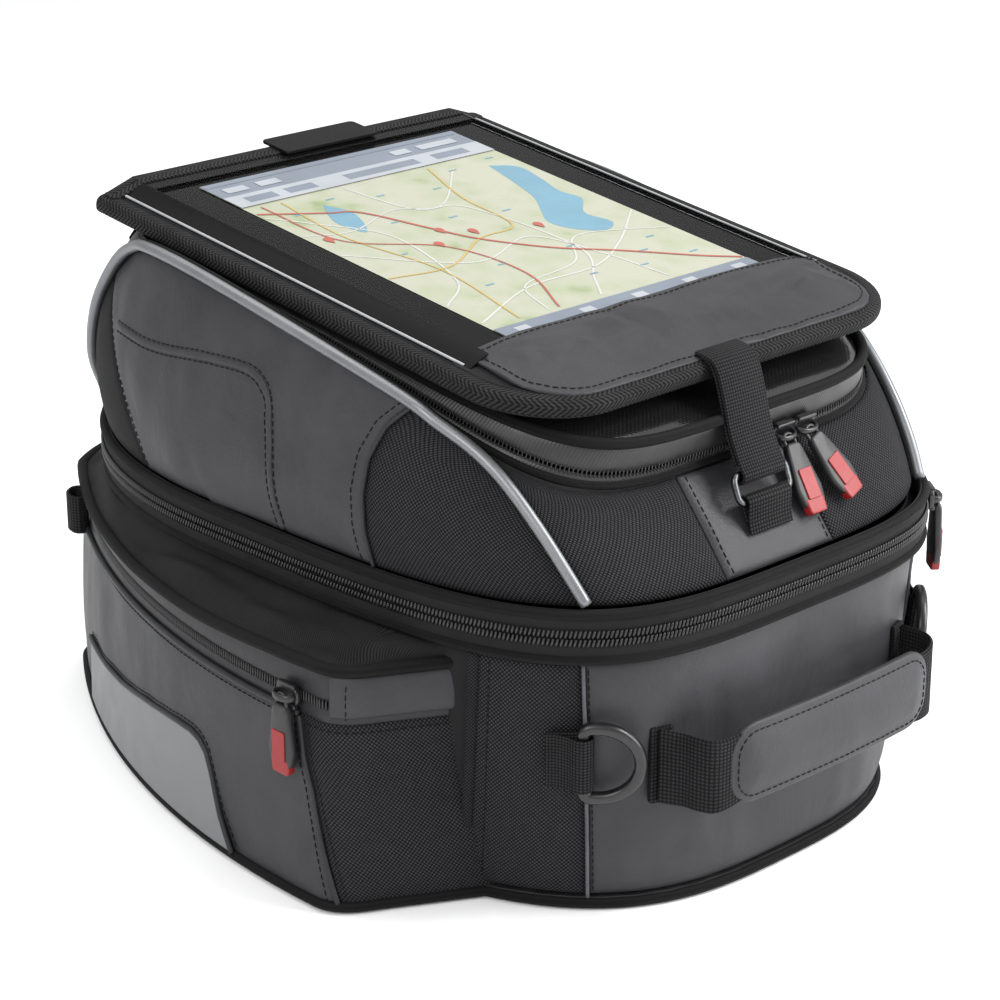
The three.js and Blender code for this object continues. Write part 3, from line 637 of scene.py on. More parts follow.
def coated(name):
    """Black coated film: glossy, with a faint fine mesh under the gloss."""
    mat, shader = new_material(name)
    u, v = weave_axes(mat, 2.2)
    mesh = calc(mat, "MULTIPLY", wave(mat, u, 2), wave(mat, v, 2))
    soft = mottle(mat, 28.0, 3)
    ramped(mat, shader, "Base Color", calc(mat, "MULTIPLY_ADD", mesh, 0.3, 0.5), (0.2, 0.004), (0.8, 0.014))
    ramped(mat, shader, "Roughness", soft, (0.3, 0.08), (0.8, 0.2))
    bumped(mat, shader, calc(mat, "MULTIPLY_ADD", soft, 6.0, calc(mat, "MULTIPLY", mesh, 0.1)), 0.35, 0.5)
    shader.inputs["Coat Weight"].default_value = 0.6
    return mat


def band_coating(name):
    """Coated tape of the lid zip: satin, with fine ribs across it."""
    mat, shader = new_material(name)
    u, v = weave_axes(mat, 1.5)
    ribs = wave(mat, u, 2)
    soft = mottle(mat, 120.0, 3)
    ramped(mat, shader, "Base Color", calc(mat, "MULTIPLY_ADD", ribs, 0.2, soft), (0.2, 0.006), (0.8, 0.014))
    ramped(mat, shader, "Roughness", soft, (0.3, 0.34), (0.7, 0.5))
    bumped(mat, shader, calc(mat, "MULTIPLY_ADD", ribs, 0.35, soft), 0.16, 0.5)
    return mat


def dark_gloss(name, shade, rough):
    """Smooth black glass or film, faintly uneven."""
    mat, shader = new_material(name)
    soft = mottle(mat, 22.0, 2)
    ramped(mat, shader, "Base Color", soft, (0.3, shade * 0.7), (0.7, shade))
    ramped(mat, shader, "Roughness", soft, (0.3, rough), (0.7, rough + 0.05))
    bumped(mat, shader, soft, 0.3, 0.2)
    shader.inputs["Specular IOR Level"].default_value = 0.04
    return mat


def clear_film(name):
    """Clear window film, slack enough to catch uneven light."""
    mat, shader = new_material(name)
    soft = mottle(mat, 16.0, 2)
    ramped(mat, shader, "Base Color", soft, (0.3, (0.02, 0.022, 0.024)), (0.7, (0.03, 0.032, 0.034)))
    bumped(mat, shader, soft, 0.9, 0.35)
    shader.inputs["Alpha"].default_value = 0.025
    shader.inputs["Roughness"].default_value = 0.05
    shader.inputs["Specular IOR Level"].default_value = 0.8
    return mat


def sewing_thread(name):
    mat, shader = new_material(name)
    twist = node(mat, "TexWave", {"Vector": place(mat), "Scale": 900.0, "Distortion": 1.0})
    ramped(mat, shader, "Base Color", twist.outputs["Fac"], (0.0, 0.002), (1.0, 0.008))
    shader.inputs["Specular IOR Level"].default_value = CLOTH_SHINE
    bumped(mat, shader, twist.outputs["Fac"], 0.08, 0.6)
    shader.inputs["Roughness"].default_value = 0.7
    return mat


LEATHER = leather("leather")
LEATHER_TRIM = leather("leather_trim", 0.011, 0.02, 900.0)
LEATHER_FLAP = leather("leather_flap", 0.0135, 0.025)
LEATHER_EDGE = leather("leather_cut_edge", 0.05, 0.1, 1500.0)
BALLISTIC = plain_weave("ballistic", 1.8, True, 0.032)
BALLISTIC_FINE = plain_weave("ballistic_fine", 1.5, True, 0.024)
TWILL = twill("twill", 1.1, 0.019)
TWILL_CORD = twill("twill_cord", 0.9, 0.009)
WEBBING = plain_weave("webbing", 1.35, False, 0.018)
WEBBING_COARSE = plain_weave("webbing_coarse", 1.6, False, 0.016)
BINDING = herringbone("binding", 2.2, 3.6, 0.02)
REFLECTIVE = reflective("reflective")
REFLECTIVE_PATCH = reflective("reflective_patch", (0.155, 0.158, 0.165), 0.1)
PLASTIC = moulded("black_plastic", (0.007, 0.007, 0.008), 0.26, 0.01)
PLASTIC_SATIN = moulded("black_plastic_satin", (0.01, 0.01, 0.011), 0.4, 0.012)
RED = moulded("red_plastic", (0.22, 0.003, 0.004), 0.4, 0.008)
METAL = metal("ring_metal", (0.11, 0.112, 0.12))
BLACK_METAL = moulded("black_painted_metal", (0.006, 0.006, 0.007), 0.26, 0.012)
TABLET_EDGE = metal("tablet_edge", (0.42, 0.43, 0.45))
COATED = coated("coated_film")
BAND = band_coating("zip_coating")
FILM = clear_film("clear_film")
THREAD = sewing_thread("thread")
LINING = twill("lining", 1.4, 0.03)
MARGIN = dark_gloss("film_margin", 0.004, 0.2)
# Pale grey for the thin tube along each window edge: a painted highlight, standing in for the light caught by
# the film's fold.
FILM_EDGE_HIGHLIGHT = moulded("film_edge_highlight", (0.3, 0.31, 0.32), 0.18, 0.1)


# ---------- shell walls ----------

def const(value):
    return lambda v: value


FRONT_TURN, REAR_TURN = math.radians(42), math.radians(144.5)


def piping_turn(v):
    """Where the reflective piping runs down the rear corner, as a turn at each share of the wall."""
    heights = [0.05, 0.32, 0.58, 0.8, 0.93, 0.99, 1.0]
    turns = [145.5, 142.5, 138.5, 133, 127, 120, 112]
    return math.radians(float(np.interp(v, heights, turns)))


def at_x_rear(surface, v, x):
    """Turn at the rear where a wall at share v of its height is x across."""
    turns = np.radians(np.linspace(150, 210, 240))
    xs = surface(turns, np.full(turns.shape, v))[:, 0]
    return float(np.interp(x, xs, turns))


def leather_front(v):
    return float(turn_at(upper_wall, v, 71 + 55 * v))


def leather_rear(v):
    y = np.interp(v, [0.02, 0.2, 0.4, 0.6, 0.8, 1.0], [-78, -73, -70.5, -71, -76, -86])
    return float(turn_at(upper_wall, v, float(y)))


WALL_TOP = 0.985                                 # share of the upper wall that its panels cover
PATCH_X = (CLOSURE_X - 31, CLOSURE_X + 31)
POCKET_END_TURN = math.radians(122)


def at_patch(end):
    """Side line of the closing patch: 0 is its left end, 1 its right end."""
    return lambda v: at_x_rear(upper_wall, v, PATCH_X[end])


def upper_panel(name, left, right, material, puff, **more):
    patch(name, upper_wall, left, right, 0.0, WALL_TOP, material, "upper_body", puff=puff, **more)


def lower_panel(name, left, right, material, puff, **more):
    patch(name, lower_wall, const(left), const(right), 0.0, 1.0, material, "lower_body", puff=puff, **more)


for side, flipped in SIDES:
    upper_panel(f"upper_leather_{side}", leather_front, leather_rear, LEATHER, 2.2, wrinkle=0.9,
                mirror=flipped, replaces=[f"upper_{side}_panel"])
    upper_panel(f"upper_corner_{side}", leather_rear, piping_turn, BALLISTIC, 1.2, mirror=flipped)
    upper_panel(f"upper_strip_{side}", const(FRONT_TURN), leather_front, TWILL, 1.0, mirror=flipped)
upper_panel("upper_front", const(-FRONT_TURN), const(FRONT_TURN), BALLISTIC, 1.5, wrinkle=0.6,
            replaces=["upper_front_panel"])
upper_panel("upper_rear_left", piping_turn, at_patch(0), BALLISTIC, 0.8, replaces=["upper_rear_panel"])
upper_panel("upper_rear_right", at_patch(1), lambda v: FULL - piping_turn(v), BALLISTIC, 0.8)
upper_panel("closure_leather", at_patch(0), at_patch(1), LEATHER, 0.9, lift=0.6, wrinkle=0.5,
            replaces=["closure_patch"])

lower_panel("lower_rear", REAR_TURN, FULL - REAR_TURN, LEATHER, 2.0, wrinkle=1.0,
            replaces=["lower_rear_panel"])
lower_panel("lower_front", -FRONT_TURN, FRONT_TURN, BALLISTIC, 1.5, wrinkle=0.6,
            replaces=["lower_front_panel"])
for side, flipped in SIDES:
    lower_panel(f"lower_corner_{side}", POCKET_END_TURN, REAR_TURN, BALLISTIC, 1.2, mirror=flipped,
                replaces=[f"lower_{side}_panel"])
    lower_panel(f"lower_side_{side}", FRONT_TURN, POCKET_END_TURN, TWILL, 0.6, mirror=flipped)


# ---------- pads, slabs and rods ----------

def round_box(half_a, half_b, corner, inset, per_corner=7):
    """Rounded rectangle moved inwards. Its corner radius may be a pair, for the +b and -b ends."""
    a, b = max(half_a - inset, 0.001), max(half_b - inset, 0.001)
    far_corner, near_corner = corner if isinstance(corner, tuple) else (corner, corner)
    points = []
    for side_a, side_b, start in ((1, 1, 0), (-1, 1, 90), (-1, -1, 180), (1, -1, 270)):
        r = min(max((far_corner if side_b > 0 else near_corner) - inset, 0.0005), a, b)
        for angle in np.radians(np.linspace(start, start + 90, per_corner)):
            points.append((side_a * (a - r) + r * math.cos(angle), side_b * (b - r) + r * math.sin(angle)))
    return densify(np.array(points))


STEPS_PER_SIDE = 16


def densify(loop):
    """Splits the long straight runs of a corner-built outline into a fixed number of steps."""
    out = []
    corner = len(loop) // 4
    for i in range(len(loop)):
        out.append(loop[i])
        if (i + 1) % corner == 0:
            following = loop[(i + 1) % len(loop)]
            out += [loop[i] + (following - loop[i]) * k / STEPS_PER_SIDE for k in range(1, STEPS_PER_SIDE)]
    return np.array(out)


def pad_mesh(loops):
    """Closed mesh from (outline, height) loops, from the top's middle over the edge to the bottom's."""
    points = np.vstack([np.column_stack([loop, np.full(len(loop), height)]) for loop, height in loops])
    count = len(loops[0][0])
    faces = grid_faces(len(loops), count, wrap_columns=True)
    return points, [f[::-1] for f in faces]


def pad_shape(half_a, half_b, corner, thick, crown=0.0, edge=0.5, belly=0.0, reach=8.0):
    """A pad with a rounded rim: crown lifts its top and belly drops its bottom away from the rim."""
    deepest = min(half_a, half_b)
    rim = [(0.0, 0.0), (0.12, 0.55), (0.45, 0.87), (1.0, 1.0)]
    insets = [edge * r for r, _ in rim] + list(np.linspace(edge * 1.6, deepest, max(4, int(deepest / 1.8))))
    shares = [s for _, s in rim] + [1.0] * (len(insets) - len(rim))

    def loops(sign, swell):
        out = []
        for inset, share in zip(insets, shares):
            height = sign * (thick / 2 - edge + edge * share
                             + swell * (1 - math.exp(-(inset / reach) ** 1.6)))
            out.append((round_box(half_a, half_b, corner, inset), height))
        return out
    return pad_mesh(loops(1, crown)[::-1] + loops(-1, belly))


def weld(piece, gap=0.02):
    """Joins vertices closer than a gap and drops the faces that vanish."""
    made = bmesh.new()
    made.from_mesh(piece.data)
    bmesh.ops.remove_doubles(made, verts=made.verts, dist=gap * MM)
    made.to_mesh(piece.data)
    made.free()


def pad_piece(name, shape, place_at, material, body=None, mirror=False, ripple=0.0, **more):
    """Puts a pad (across, along, off) in space through a function of those three lengths."""
    points, faces = shape
    if ripple:
        off = ripple * (noise_at(points * [1, 0.35, 1], 13, 3) + 0.6 * noise_at(points * [1, 0.5, 0], 6, 8))
        rim = np.clip(np.abs(points[:, 2]) / np.abs(points[:, 2]).max(), 0, 1)
        points = points + np.stack([0 * off, 0 * off, off * rim * np.sign(points[:, 2])], -1)
    placed = place_at(points[:, 0], points[:, 1], points[:, 2])
    if mirror:
        placed = placed * [-1, 1, 1]
        faces = [f[::-1] for f in faces]
    piece = new_piece(name, placed, faces, material, body, points[:, :2], **more)
    weld(piece)
    return piece


def plane_at(origin, x_axis, y_axis, z_axis=None):
    """Placing function for a flat frame given by its origin and axes."""
    o, x, y = (np.array(v, float) for v in (origin, x_axis, y_axis))
    x, y = x / np.linalg.norm(x), y / np.linalg.norm(y)
    z = np.cross(x, y) if z_axis is None else np.array(z_axis, float)
    return lambda a, b, c: o + np.outer(a, x) + np.outer(b, y) + np.outer(c, z)


def on_flap(u, w, h):
    """Placing function on the sloping top, centred at (u, w, h)."""
    return lambda a, b, c: top(u + a, w + b, h + c)


def even_loop(o, z, spacing=4.0):
    """Evenly spaced points and outward directions round a plan outline at one height."""
    return even(at_height(o, np.linspace(0, FULL, 1500), z), spacing, True)


def even(points, spacing, closed=False):
    run = lengths(points, 0)
    stops = np.linspace(0, run[-1], max(4, int(run[-1] / spacing)) + 1)
    row = np.stack([np.interp(stops, run, points[:, k]) for k in range(3)], -1)
    if closed:
        row = row[:-1]
        tangent = np.roll(row, -1, 0) - np.roll(row, 1, 0)
    else:
        tangent = np.gradient(row, axis=0)
    out = np.cross(tangent, UP)
    out = unit(out)
    middle = np.array([0, MID_Y, 0])
    side = np.sign(np.sum(out * (row - middle) * [1, 1, 0], 1))[:, None]
    return row, out * side


# ---------- waist zip, its tapes and the expansion gusset ----------

CORD_RADIUS = 2.1
TOOTH_PITCH, TOOTH_RISE = 1.75, 1.75             # spacing of the teeth, and each row's height off the zip


def ring_cord(name, o, z, body, radius, off):
    row, out = even_loop(o, z)
    swept_piece(name, row + out * off, out, circle(radius), TWILL_CORD, body, closed=True)


ring_cord("waist_cord_lower", WAIST, WAIST_Z - 9.4, "lower_body", CORD_RADIUS, -1.6)
ring_cord("waist_cord_upper", WAIST, WAIST_Z + 9.2, "upper_body", CORD_RADIUS, -1.4)
for name, z, body, stands_for in (("waist_tape_low", WAIST_Z - 5.6, "lower_body", "waist_tape_lower"),
                                  ("waist_tape_high", WAIST_Z + 5.4, "upper_body", "waist_tape_upper")):
    row, out = even_loop(WAIST, z)
    swept_piece(name, row - out * 1.6, out, strip(1.6, 7.4, 0.6), TWILL, body, closed=True,
                replaces=[stands_for])
    swept_piece(name + "_backing", row - out * 3.1, out, strip(1.0, 11.0, 0.4), LINING, body, closed=True)

for name, z, body in (("waist_teeth_low", WAIST_Z - TOOTH_RISE, "lower_body"),
                      ("waist_teeth_high", WAIST_Z + TOOTH_RISE, "upper_body")):
    row, out = even_loop(WAIST, z, TOOTH_PITCH)
    shape, shape_faces = capsule(3.4, 0.7, 5)
    tangent = np.cross(UP, out)
    lean = UP + 0.25 * tangent
    frames = list(zip(row - out * 0.2, unit(lean), out, tangent))
    points, faces = placed_many(shape, shape_faces, frames)
    new_piece(name, points, faces, PLASTIC, body)

SLEEVE_LOW, SLEEVE_HIGH = 100.0, 130.5
SLEEVE_ROWS, SLEEVE_COLUMNS = 25, 240
SLEEVE_INSET, SLEEVE_FOLD, SLEEVE_FOLDS = 9.0, 2.4, 2


def expansion_sleeve():
    """The hidden sleeve behind the waist zip, with two soft folds."""
    turns = np.linspace(0, FULL, SLEEVE_COLUMNS, endpoint=False)
    rows = []
    for share in np.linspace(0, 1, SLEEVE_ROWS):
        level = at_height(WAIST, turns, SLEEVE_LOW + (SLEEVE_HIGH - SLEEVE_LOW) * share)
        fold = SLEEVE_INSET - SLEEVE_FOLD * math.sin(FULL * SLEEVE_FOLDS * share) ** 2
        rows.append(level - outward_of(level) * fold)
    points = np.array(rows)
    uv = np.stack(np.meshgrid(np.arange(SLEEVE_COLUMNS) * 4.6, np.arange(SLEEVE_ROWS) * 1.3), -1)
    faces = grid_faces(SLEEVE_ROWS, SLEEVE_COLUMNS, wrap_columns=True)
    return points.reshape(-1, 3), faces, uv.reshape(-1, 2)



points, faces, uv = expansion_sleeve()
sleeve = new_piece("expansion_sleeve", points, faces, TWILL, None, uv, replaces=["expansion_gusset"])
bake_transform(sleeve)


# ---------- linings ----------

LINING_INSET, RIM_SHARE = 3.2, 0.1
LINING_ROWS, LINING_COLUMNS = 20, 180


def lining(name, surface, low, high, rim_inset, body):
    """Inner cloth of a shell, a constant distance inside its wall up to the rim, where it closes in."""
    turns = np.linspace(0, FULL, LINING_COLUMNS, endpoint=False)
    v = np.linspace(low, high, LINING_ROWS)[:, None]
    points = surface(turns[None], np.broadcast_to(v, (LINING_ROWS, LINING_COLUMNS)))
    away = outward_of(points)
    at_rim = np.clip((v - high + RIM_SHARE) / RIM_SHARE, 0, 1)
    points = points - away * (LINING_INSET + (rim_inset - LINING_INSET) * at_rim)[..., None]
    uv = np.stack(np.broadcast_arrays(turns[None] * 150, v * 100), -1).reshape(-1, 2)
    new_piece(name, points.reshape(-1, 3), grid_faces(*points.shape[:2], wrap_columns=True, flip=True),
              LINING, body, uv)


lining("upper_lining", upper_wall, 0.0, 1.0, 0.3, "upper_body")
lining("lower_lining", lower_wall, 0.02, 1.0, LINING_INSET, "lower_body")


# ---------- reflective piping at the rear corners ----------

PIPING_TURNS = [36, 41, 47, 54, 64, 76, 90, 102, 112, 120, 127, 133, 138.5, 142.5, 145.5]
PIPING_SHARES = [0.04, 0.3, 0.6, 0.84, 0.96, 1, 1, 1, 1, 0.99, 0.93, 0.8, 0.58, 0.32, 0.05]
turns = np.radians(PIPING_TURNS)
route = upper_wall(turns, np.array(PIPING_SHARES))
away = outward_of(route)
route = smooth_path(route + away * PIPING_OFF, 190)
away = outward_of(route)
for side, flipped in SIDES:
    swept_piece(f"reflective_piping_{side}", route, away, circle(PIPING_RADIUS, 14), REFLECTIVE, "upper_body",
                mirror=flipped, replaces=[f"piping_{side}"])
    swept_piece(f"piping_flange_{side}", route - away * 2.6 + UP * 0.2, away, strip(3.4, 4.2, 1.2),
                TWILL_CORD, "upper_body", mirror=flipped)


# ---------- lid: zip bands, seam and coated sheet ----------

BAND_TURNS = (math.radians(52), math.radians(308))
BAND_PUFF = 0.8
LID_MIDDLE = np.array([0, MID_Y, 150.0])         # a point inside the bag, to tell inwards from outwards


def band(name, foot, head, body, stands_for):
    """Half of the lid's zip band, gently puffed between its two edges."""
    turns = np.linspace(*BAND_TURNS, 260)
    shares = np.linspace(0, 1, 9)[:, None, None]
    flat = foot(turns) + (head(turns) - foot(turns)) * shares
    n = normals_of(flat)
    flip = bool(np.sum(n * (flat - LID_MIDDLE)) < 0)
    points = flat + (-n if flip else n) * BAND_PUFF * (1 - (2 * shares - 1) ** 4)
    uv = np.stack([lengths(points, 1), lengths(points, 0)], -1).reshape(-1, 2)
    new_piece(name, points.reshape(-1, 3), grid_faces(*points.shape[:2], flip=flip), BAND, body, uv,
              replaces=[stands_for])


def between(low, high, share):
    """The line this share of the way from one line to another."""
    return lambda turn: low(turn) + (high(turn) - low(turn)) * share


band("lid_band_low", between(band_foot, coil_line, -0.25), between(coil_line, band_foot, 0.08), "upper_body",
     "lid_tape_lower")
band("lid_band_high", between(coil_line, lid_seam, 0.07), lid_seam, "lid", "lid_tape_upper")

seam_turns = np.linspace(*BAND_TURNS, 1200)
for name, line, lift, radius, body, material in (
        ("lid_seam_cord", lid_seam, 0.8, 2.3, "lid", TWILL_CORD),
        ("band_foot_cord", band_foot, 0.2, 1.9, "upper_body", TWILL_CORD)):
    row, out = even(line(seam_turns), 3.5)
    swept_piece(name, row + out * 0.6 + UP * lift, out, circle(radius), material, body)
for name, share, body in (("lid_coil_low", -0.05, "upper_body"), ("lid_coil_high", 0.05, "lid")):
    row, out = even(between(coil_line, lid_seam, share)(seam_turns), 1.7)
    up = np.cross(out, np.gradient(row, axis=0))
    up = unit(up)
    up *= np.sign(up[:, 2:])
    shape, shape_faces = capsule(2.0, 0.36, 5)
    points, faces = placed_many(shape, shape_faces, list(zip(row + out * 0.55, up, out, np.cross(up, out))))
    new_piece(name, points, faces, BAND, body, slot="black_plastic")


def lid_sheet():
    """Coated top of the lid, inside its seam, sagging a little and gently creased."""
    turns = np.radians(np.linspace(0, 360, 181)[:-1])
    x, y = plan(LID_SEAM, turns)
    rows = []
    for share in (1.0, 0.985, 0.95, 0.9, 0.82, 0.72, 0.6, 0.45, 0.3, 0.15, 0.05, 0.0):
        px, py = x * share, MID_Y + (y - MID_Y) * share
        back = np.maximum(0, -py) / TOP_REAR
        rise = (1.0 + 8.5 * back ** 2) * np.minimum(1, 3.2 * (1 - share)) ** 0.6
        rows.append(top(px, np.minimum(py, 112), -14.6 - 9.4 * back ** 2 + rise - 0.4))
    points = np.array(rows)
    crease = noise_at(points * [0.6, 1, 1], 30, 9) * 0.8 + noise_at(points, 11, 2) * 0.25
    points[..., 2] += crease * np.clip((1 - np.linspace(1, 0, len(rows))[::-1][:, None]) * 3, 0, 1)
    uv = points[..., :2].reshape(-1, 2)
    return points.reshape(-1, 3), grid_faces(*points.shape[:2], wrap_columns=True, flip=True), uv


points, faces, uv = lid_sheet()
weld(new_piece("lid_top", points, faces, COATED, "lid", uv, replaces=["lid_panel"]))
HINGE_LIP = 4.4                                  # how far the hinge band reaches past the CAD strip
hinge_low, hinge_high = box("lid_hinge_strip")
hinge_middle = (hinge_low + hinge_high + [0, HINGE_LIP, HINGE_LIP * math.tan(TILT)]) / 2
pad_piece("lid_hinge_band", pad_shape(hinge_high[0], (hinge_high[1] - hinge_low[1] + HINGE_LIP) / 2, 2, 1.6),
          plane_at(hinge_middle * [0, 1, 1], (1, 0, 0), UP_THE_TOP), WEBBING, "upper_body",
          replaces=["lid_hinge_strip"], slot="twill")


# ---------- map flap ----------

def flap_loop(inset):
    """The flap's outline, open end first: up one side, round the rear, down the other."""
    half, rear, corner = FLAP_HALF - inset, FLAP_REAR + inset, FLAP_CORNER - inset
    arc = np.radians(np.linspace(0, 90, 16))
    left = [(-half, w) for w in np.linspace(FLAP_FRONT, rear + corner, 44)]
    corner_left = [(-half + corner * (1 - math.cos(a)), rear + corner * (1 - math.sin(a))) for a in arc[1:]]
    across = [(u, rear) for u in np.linspace(-half + corner, half - corner, 28)[1:-1]]
    right = [(-u, w) for u, w in (left + corner_left)][::-1]
    return np.array(left + corner_left + across + right)


FLAP_LOW = -12.0
BINDING_WIDTH, BINDING_HEIGHT = 12.0, 8.6
PLATE_INSET, PLATE_HEIGHTS = 5.0, (0.3, 2.4)
inner = flap_loop(BINDING_WIDTH / 2)
centre_line = top(inner[:, 0], inner[:, 1], FLAP_LOW + BINDING_HEIGHT / 2)


def superellipse(height, width, power, sides=28):
    a = np.linspace(0, FULL, sides, endpoint=False)
    x = np.sign(np.cos(a)) * np.abs(np.cos(a)) ** (2 / power) * height / 2
    y = np.sign(np.sin(a)) * np.abs(np.sin(a)) ** (2 / power) * width / 2
    return np.stack([x, y], -1)


swept_piece("flap_edge_binding", centre_line, OFF_THE_TOP, superellipse(BINDING_HEIGHT, BINDING_WIDTH, 2.7),
            BINDING, "map_flap", replaces=["flap_binding"])


def flap_underside():
    """A flat sheet inside the binding."""
    loop = flap_loop(PLATE_INSET)
    count = len(loop)
    points = [top(loop[:, 0], loop[:, 1], FLAP_LOW + h) for h in PLATE_HEIGHTS]
    faces = [list(range(count)), [count + k for k in range(count)][::-1]]
    faces += [[count + k, count + (k + 1) % count, (k + 1) % count, k] for k in range(count)]
    new_piece("flap_underside", np.vstack(points), faces, LINING, "map_flap", np.vstack([loop, loop]),
              smooth=False, replaces=["flap_base"], slot="twill")


flap_underside()


FILM_HALF, FILM_REAR, FILM_FRONT = TABLET_HALF + 2.0, -101.0, FLAP_FRONT - 4.0


def window_film():
    """The clear window, a little slack away from its edges."""
    u, w = np.meshgrid(np.linspace(-FILM_HALF, FILM_HALF, 60), np.linspace(FILM_REAR, FILM_FRONT, 64))
    flat = top(u, w, 0.0)
    slack = noise_at(flat * [1, 1, 0], 70, 4) * 0.5 + noise_at(flat * [1, 0.6, 0], 28, 7) * 0.22
    edge = np.clip(np.minimum(FILM_HALF - np.abs(u), w - FILM_REAR) / 20, 0, 1)
    points = top(u, w, 1.0 + (0.5 + slack) * edge)
    new_piece("flap_window_film", points.reshape(-1, 3), grid_faces(*u.shape), FILM, "map_flap",
              np.stack([u, w], -1).reshape(-1, 2), replaces=["flap_window"])


window_film()

# Black edge of the window: it falls from the tablet's rim to the binding. A hem crosses its open front end.
MARGIN_INNER, MARGIN_OUTER = TABLET_HALF + 0.3, FLAP_HALF - BINDING_WIDTH + 3.2
MARGIN_DROP = 4.6
MARGIN_FRONT, MARGIN_REAR = FLAP_FRONT, -106.0


def margin_drop(u):
    """How far the film has fallen at a distance across: none over the tablet, all of it at the binding."""
    share = np.clip((np.abs(u) - MARGIN_INNER) / (MARGIN_OUTER - MARGIN_INNER), 0, 1)
    return MARGIN_DROP * share ** 1.3


for side, sign in (("left", -1), ("right", 1)):
    margin_half = (MARGIN_OUTER - MARGIN_INNER) / 2
    margin_reach = (MARGIN_FRONT - MARGIN_REAR) / 2
    pad_piece(f"window_margin_{side}", pad_shape(margin_half, margin_reach, 1.0, 0.8, edge=0.3),
              lambda a, b, c: top(sign * (MARGIN_INNER + margin_half) + a, MARGIN_REAR + margin_reach + b,
                                  0.9 + c - margin_drop(sign * (MARGIN_INNER + margin_half) + a)),
              MARGIN, "map_flap")
# A thin pale tube along each margin's outer edge, beside the binding, is a painted highlight: the light caught
# where the film folds down there.
for side, u in (("left", 0.6 - MARGIN_OUTER), ("right", MARGIN_OUTER - 0.6)):
    w = np.linspace(MARGIN_FRONT - 4, MARGIN_REAR + 4, 60)
    swept_piece(f"window_edge_highlight_{side}", top(u, w, 1.4 - margin_drop(u)), OFF_THE_TOP, circle(0.6, 8),
                FILM_EDGE_HIGHLIGHT, "map_flap")
pad_piece("window_margin_front", pad_shape(TABLET_HALF + 1, 6.5, 1.0, 0.5, edge=0.2),
          lambda a, b, c: top(a, 111.5 + b, 0.75 + c), MARGIN, "map_flap")
pad_piece("window_front_hem", pad_shape(FLAP_HALF - 3, 4.4, 3.0, 1.5, crown=0.2),
          lambda a, b, c: top(a, FLAP_FRONT - 4.2 + b, 1.0 + c - margin_drop(a)), BINDING, "map_flap")
TRIM_HALF = box("flap_trim")[1][0]
TRIM_FRONT, TRIM_REAR = -97.0, -148.5
TRIM_CORNERS = (7, 25)
trim_middle, trim_half = (TRIM_FRONT + TRIM_REAR) / 2, (TRIM_FRONT - TRIM_REAR) / 2


def trim_place(a, b, c):
    """The rear of the flap droops behind the tablet and at both ends."""
    w = trim_middle + b
    behind = np.clip((-w - 104) / 42, 0, 1)
    beside = np.clip((np.abs(a) - 76) / 26, 0, 1)
    return top(a, w, 1.0 + c - 4.3 * behind ** 1.2 - 3.0 * beside ** 1.5 * (1 - 0.55 * behind))


pad_piece("flap_fill", pad_shape(TRIM_HALF + 8, trim_half - 1, (4, 22), 2.2),
          lambda a, b, c: trim_place(a, b + 2.0, c - 2.2), TWILL, "map_flap")
trim = pad_piece("flap_leather_trim", pad_shape(TRIM_HALF + 2, trim_half, TRIM_CORNERS, 1.8, crown=1.7,
                                                edge=0.8, reach=10), trim_place, LEATHER_FLAP, "map_flap",
                 ripple=3.2, replaces=["flap_trim"])
loop = round_box(TRIM_HALF + 2, trim_half, TRIM_CORNERS, 3.2)
loop = np.vstack([loop, loop[:1]])
stitch(trim_place(loop[:, 0], loop[:, 1], np.full(len(loop), 2.0)), trim, "map_flap")

front_low, front_high = box("front_tab")
tab_u, tab_half = (front_low[0] + front_high[0]) / 2, (front_high[0] - front_low[0]) / 2
on_tab = plane_at((tab_u, (front_low[1] + front_high[1]) / 2, (front_low[2] + front_high[2]) / 2), (1, 0, 0),
                  (0, math.cos(TILT), math.sin(TILT)))
pad_piece("front_pull_tab", pad_shape(tab_half, 9.4, 2.5, 1.5, crown=0.2), on_tab, WEBBING, "front_tab",
          replaces=["front_tab"])

# Hinge cloth of the flap: folded under its front end, one leaf on the lid and one under the flap.
FOLD_STOPS = [(103, -13.9), (109, -13.1), (116, -13.0), (120.9, -12.9), (121.6, -12.5), (120.9, -12.1),
              (116, -12.0), (108, -12.0)]
fold_line = smooth_path([(0, w, h) for w, h in FOLD_STOPS], 50)
fold_line = top(0, fold_line[:, 1], fold_line[:, 2])
fold_normals = np.cross(np.gradient(fold_line, axis=0), [-1.0, 0, 0])
hinge_cloth = swept_piece("flap_hinge_cloth", fold_line, fold_normals, strip(0.5, 2 * FLAP_HALF - 34, 0.2),
                          TWILL, None)
top(0, 116, -12.9).ravel() * MM
top(0, 116, -12.1).ravel() * MM
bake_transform(hinge_cloth)


# ---------- tablet and the map it shows ----------

def map_paper(name):
    mat, shader = new_material(name)
    fields = node(mat, "TexVoronoi", {"Vector": place(mat), "Scale": 75.0}).outputs["Distance"]
    relief = mottle(mat, 30.0, 6, roughness=0.6)
    tone = calc(mat, "MULTIPLY_ADD", fields, 0.25, calc(mat, "MULTIPLY", relief, 0.8))
    ramped(mat, shader, "Base Color", tone, (0.3, (0.19, 0.25, 0.115)), (0.42, (0.3, 0.325, 0.22)),
                                                (0.58, (0.345, 0.35, 0.275)))
    ramped(mat, shader, "Roughness", relief, (0.3, 0.22), (0.7, 0.3))
    bumped(mat, shader, relief, 0.01, 0.1)
    return mat


def screen_colour(name, colour):
    mat, shader = new_material(name)
    tone = mottle(mat, 50.0, 2)
    ramped(mat, shader, "Base Color", tone, (0.3, tuple(0.88 * c for c in colour)), (0.7, colour))
    shader.inputs["Roughness"].default_value = 0.25
    bumped(mat, shader, tone, 0.01, 0.1)
    return mat


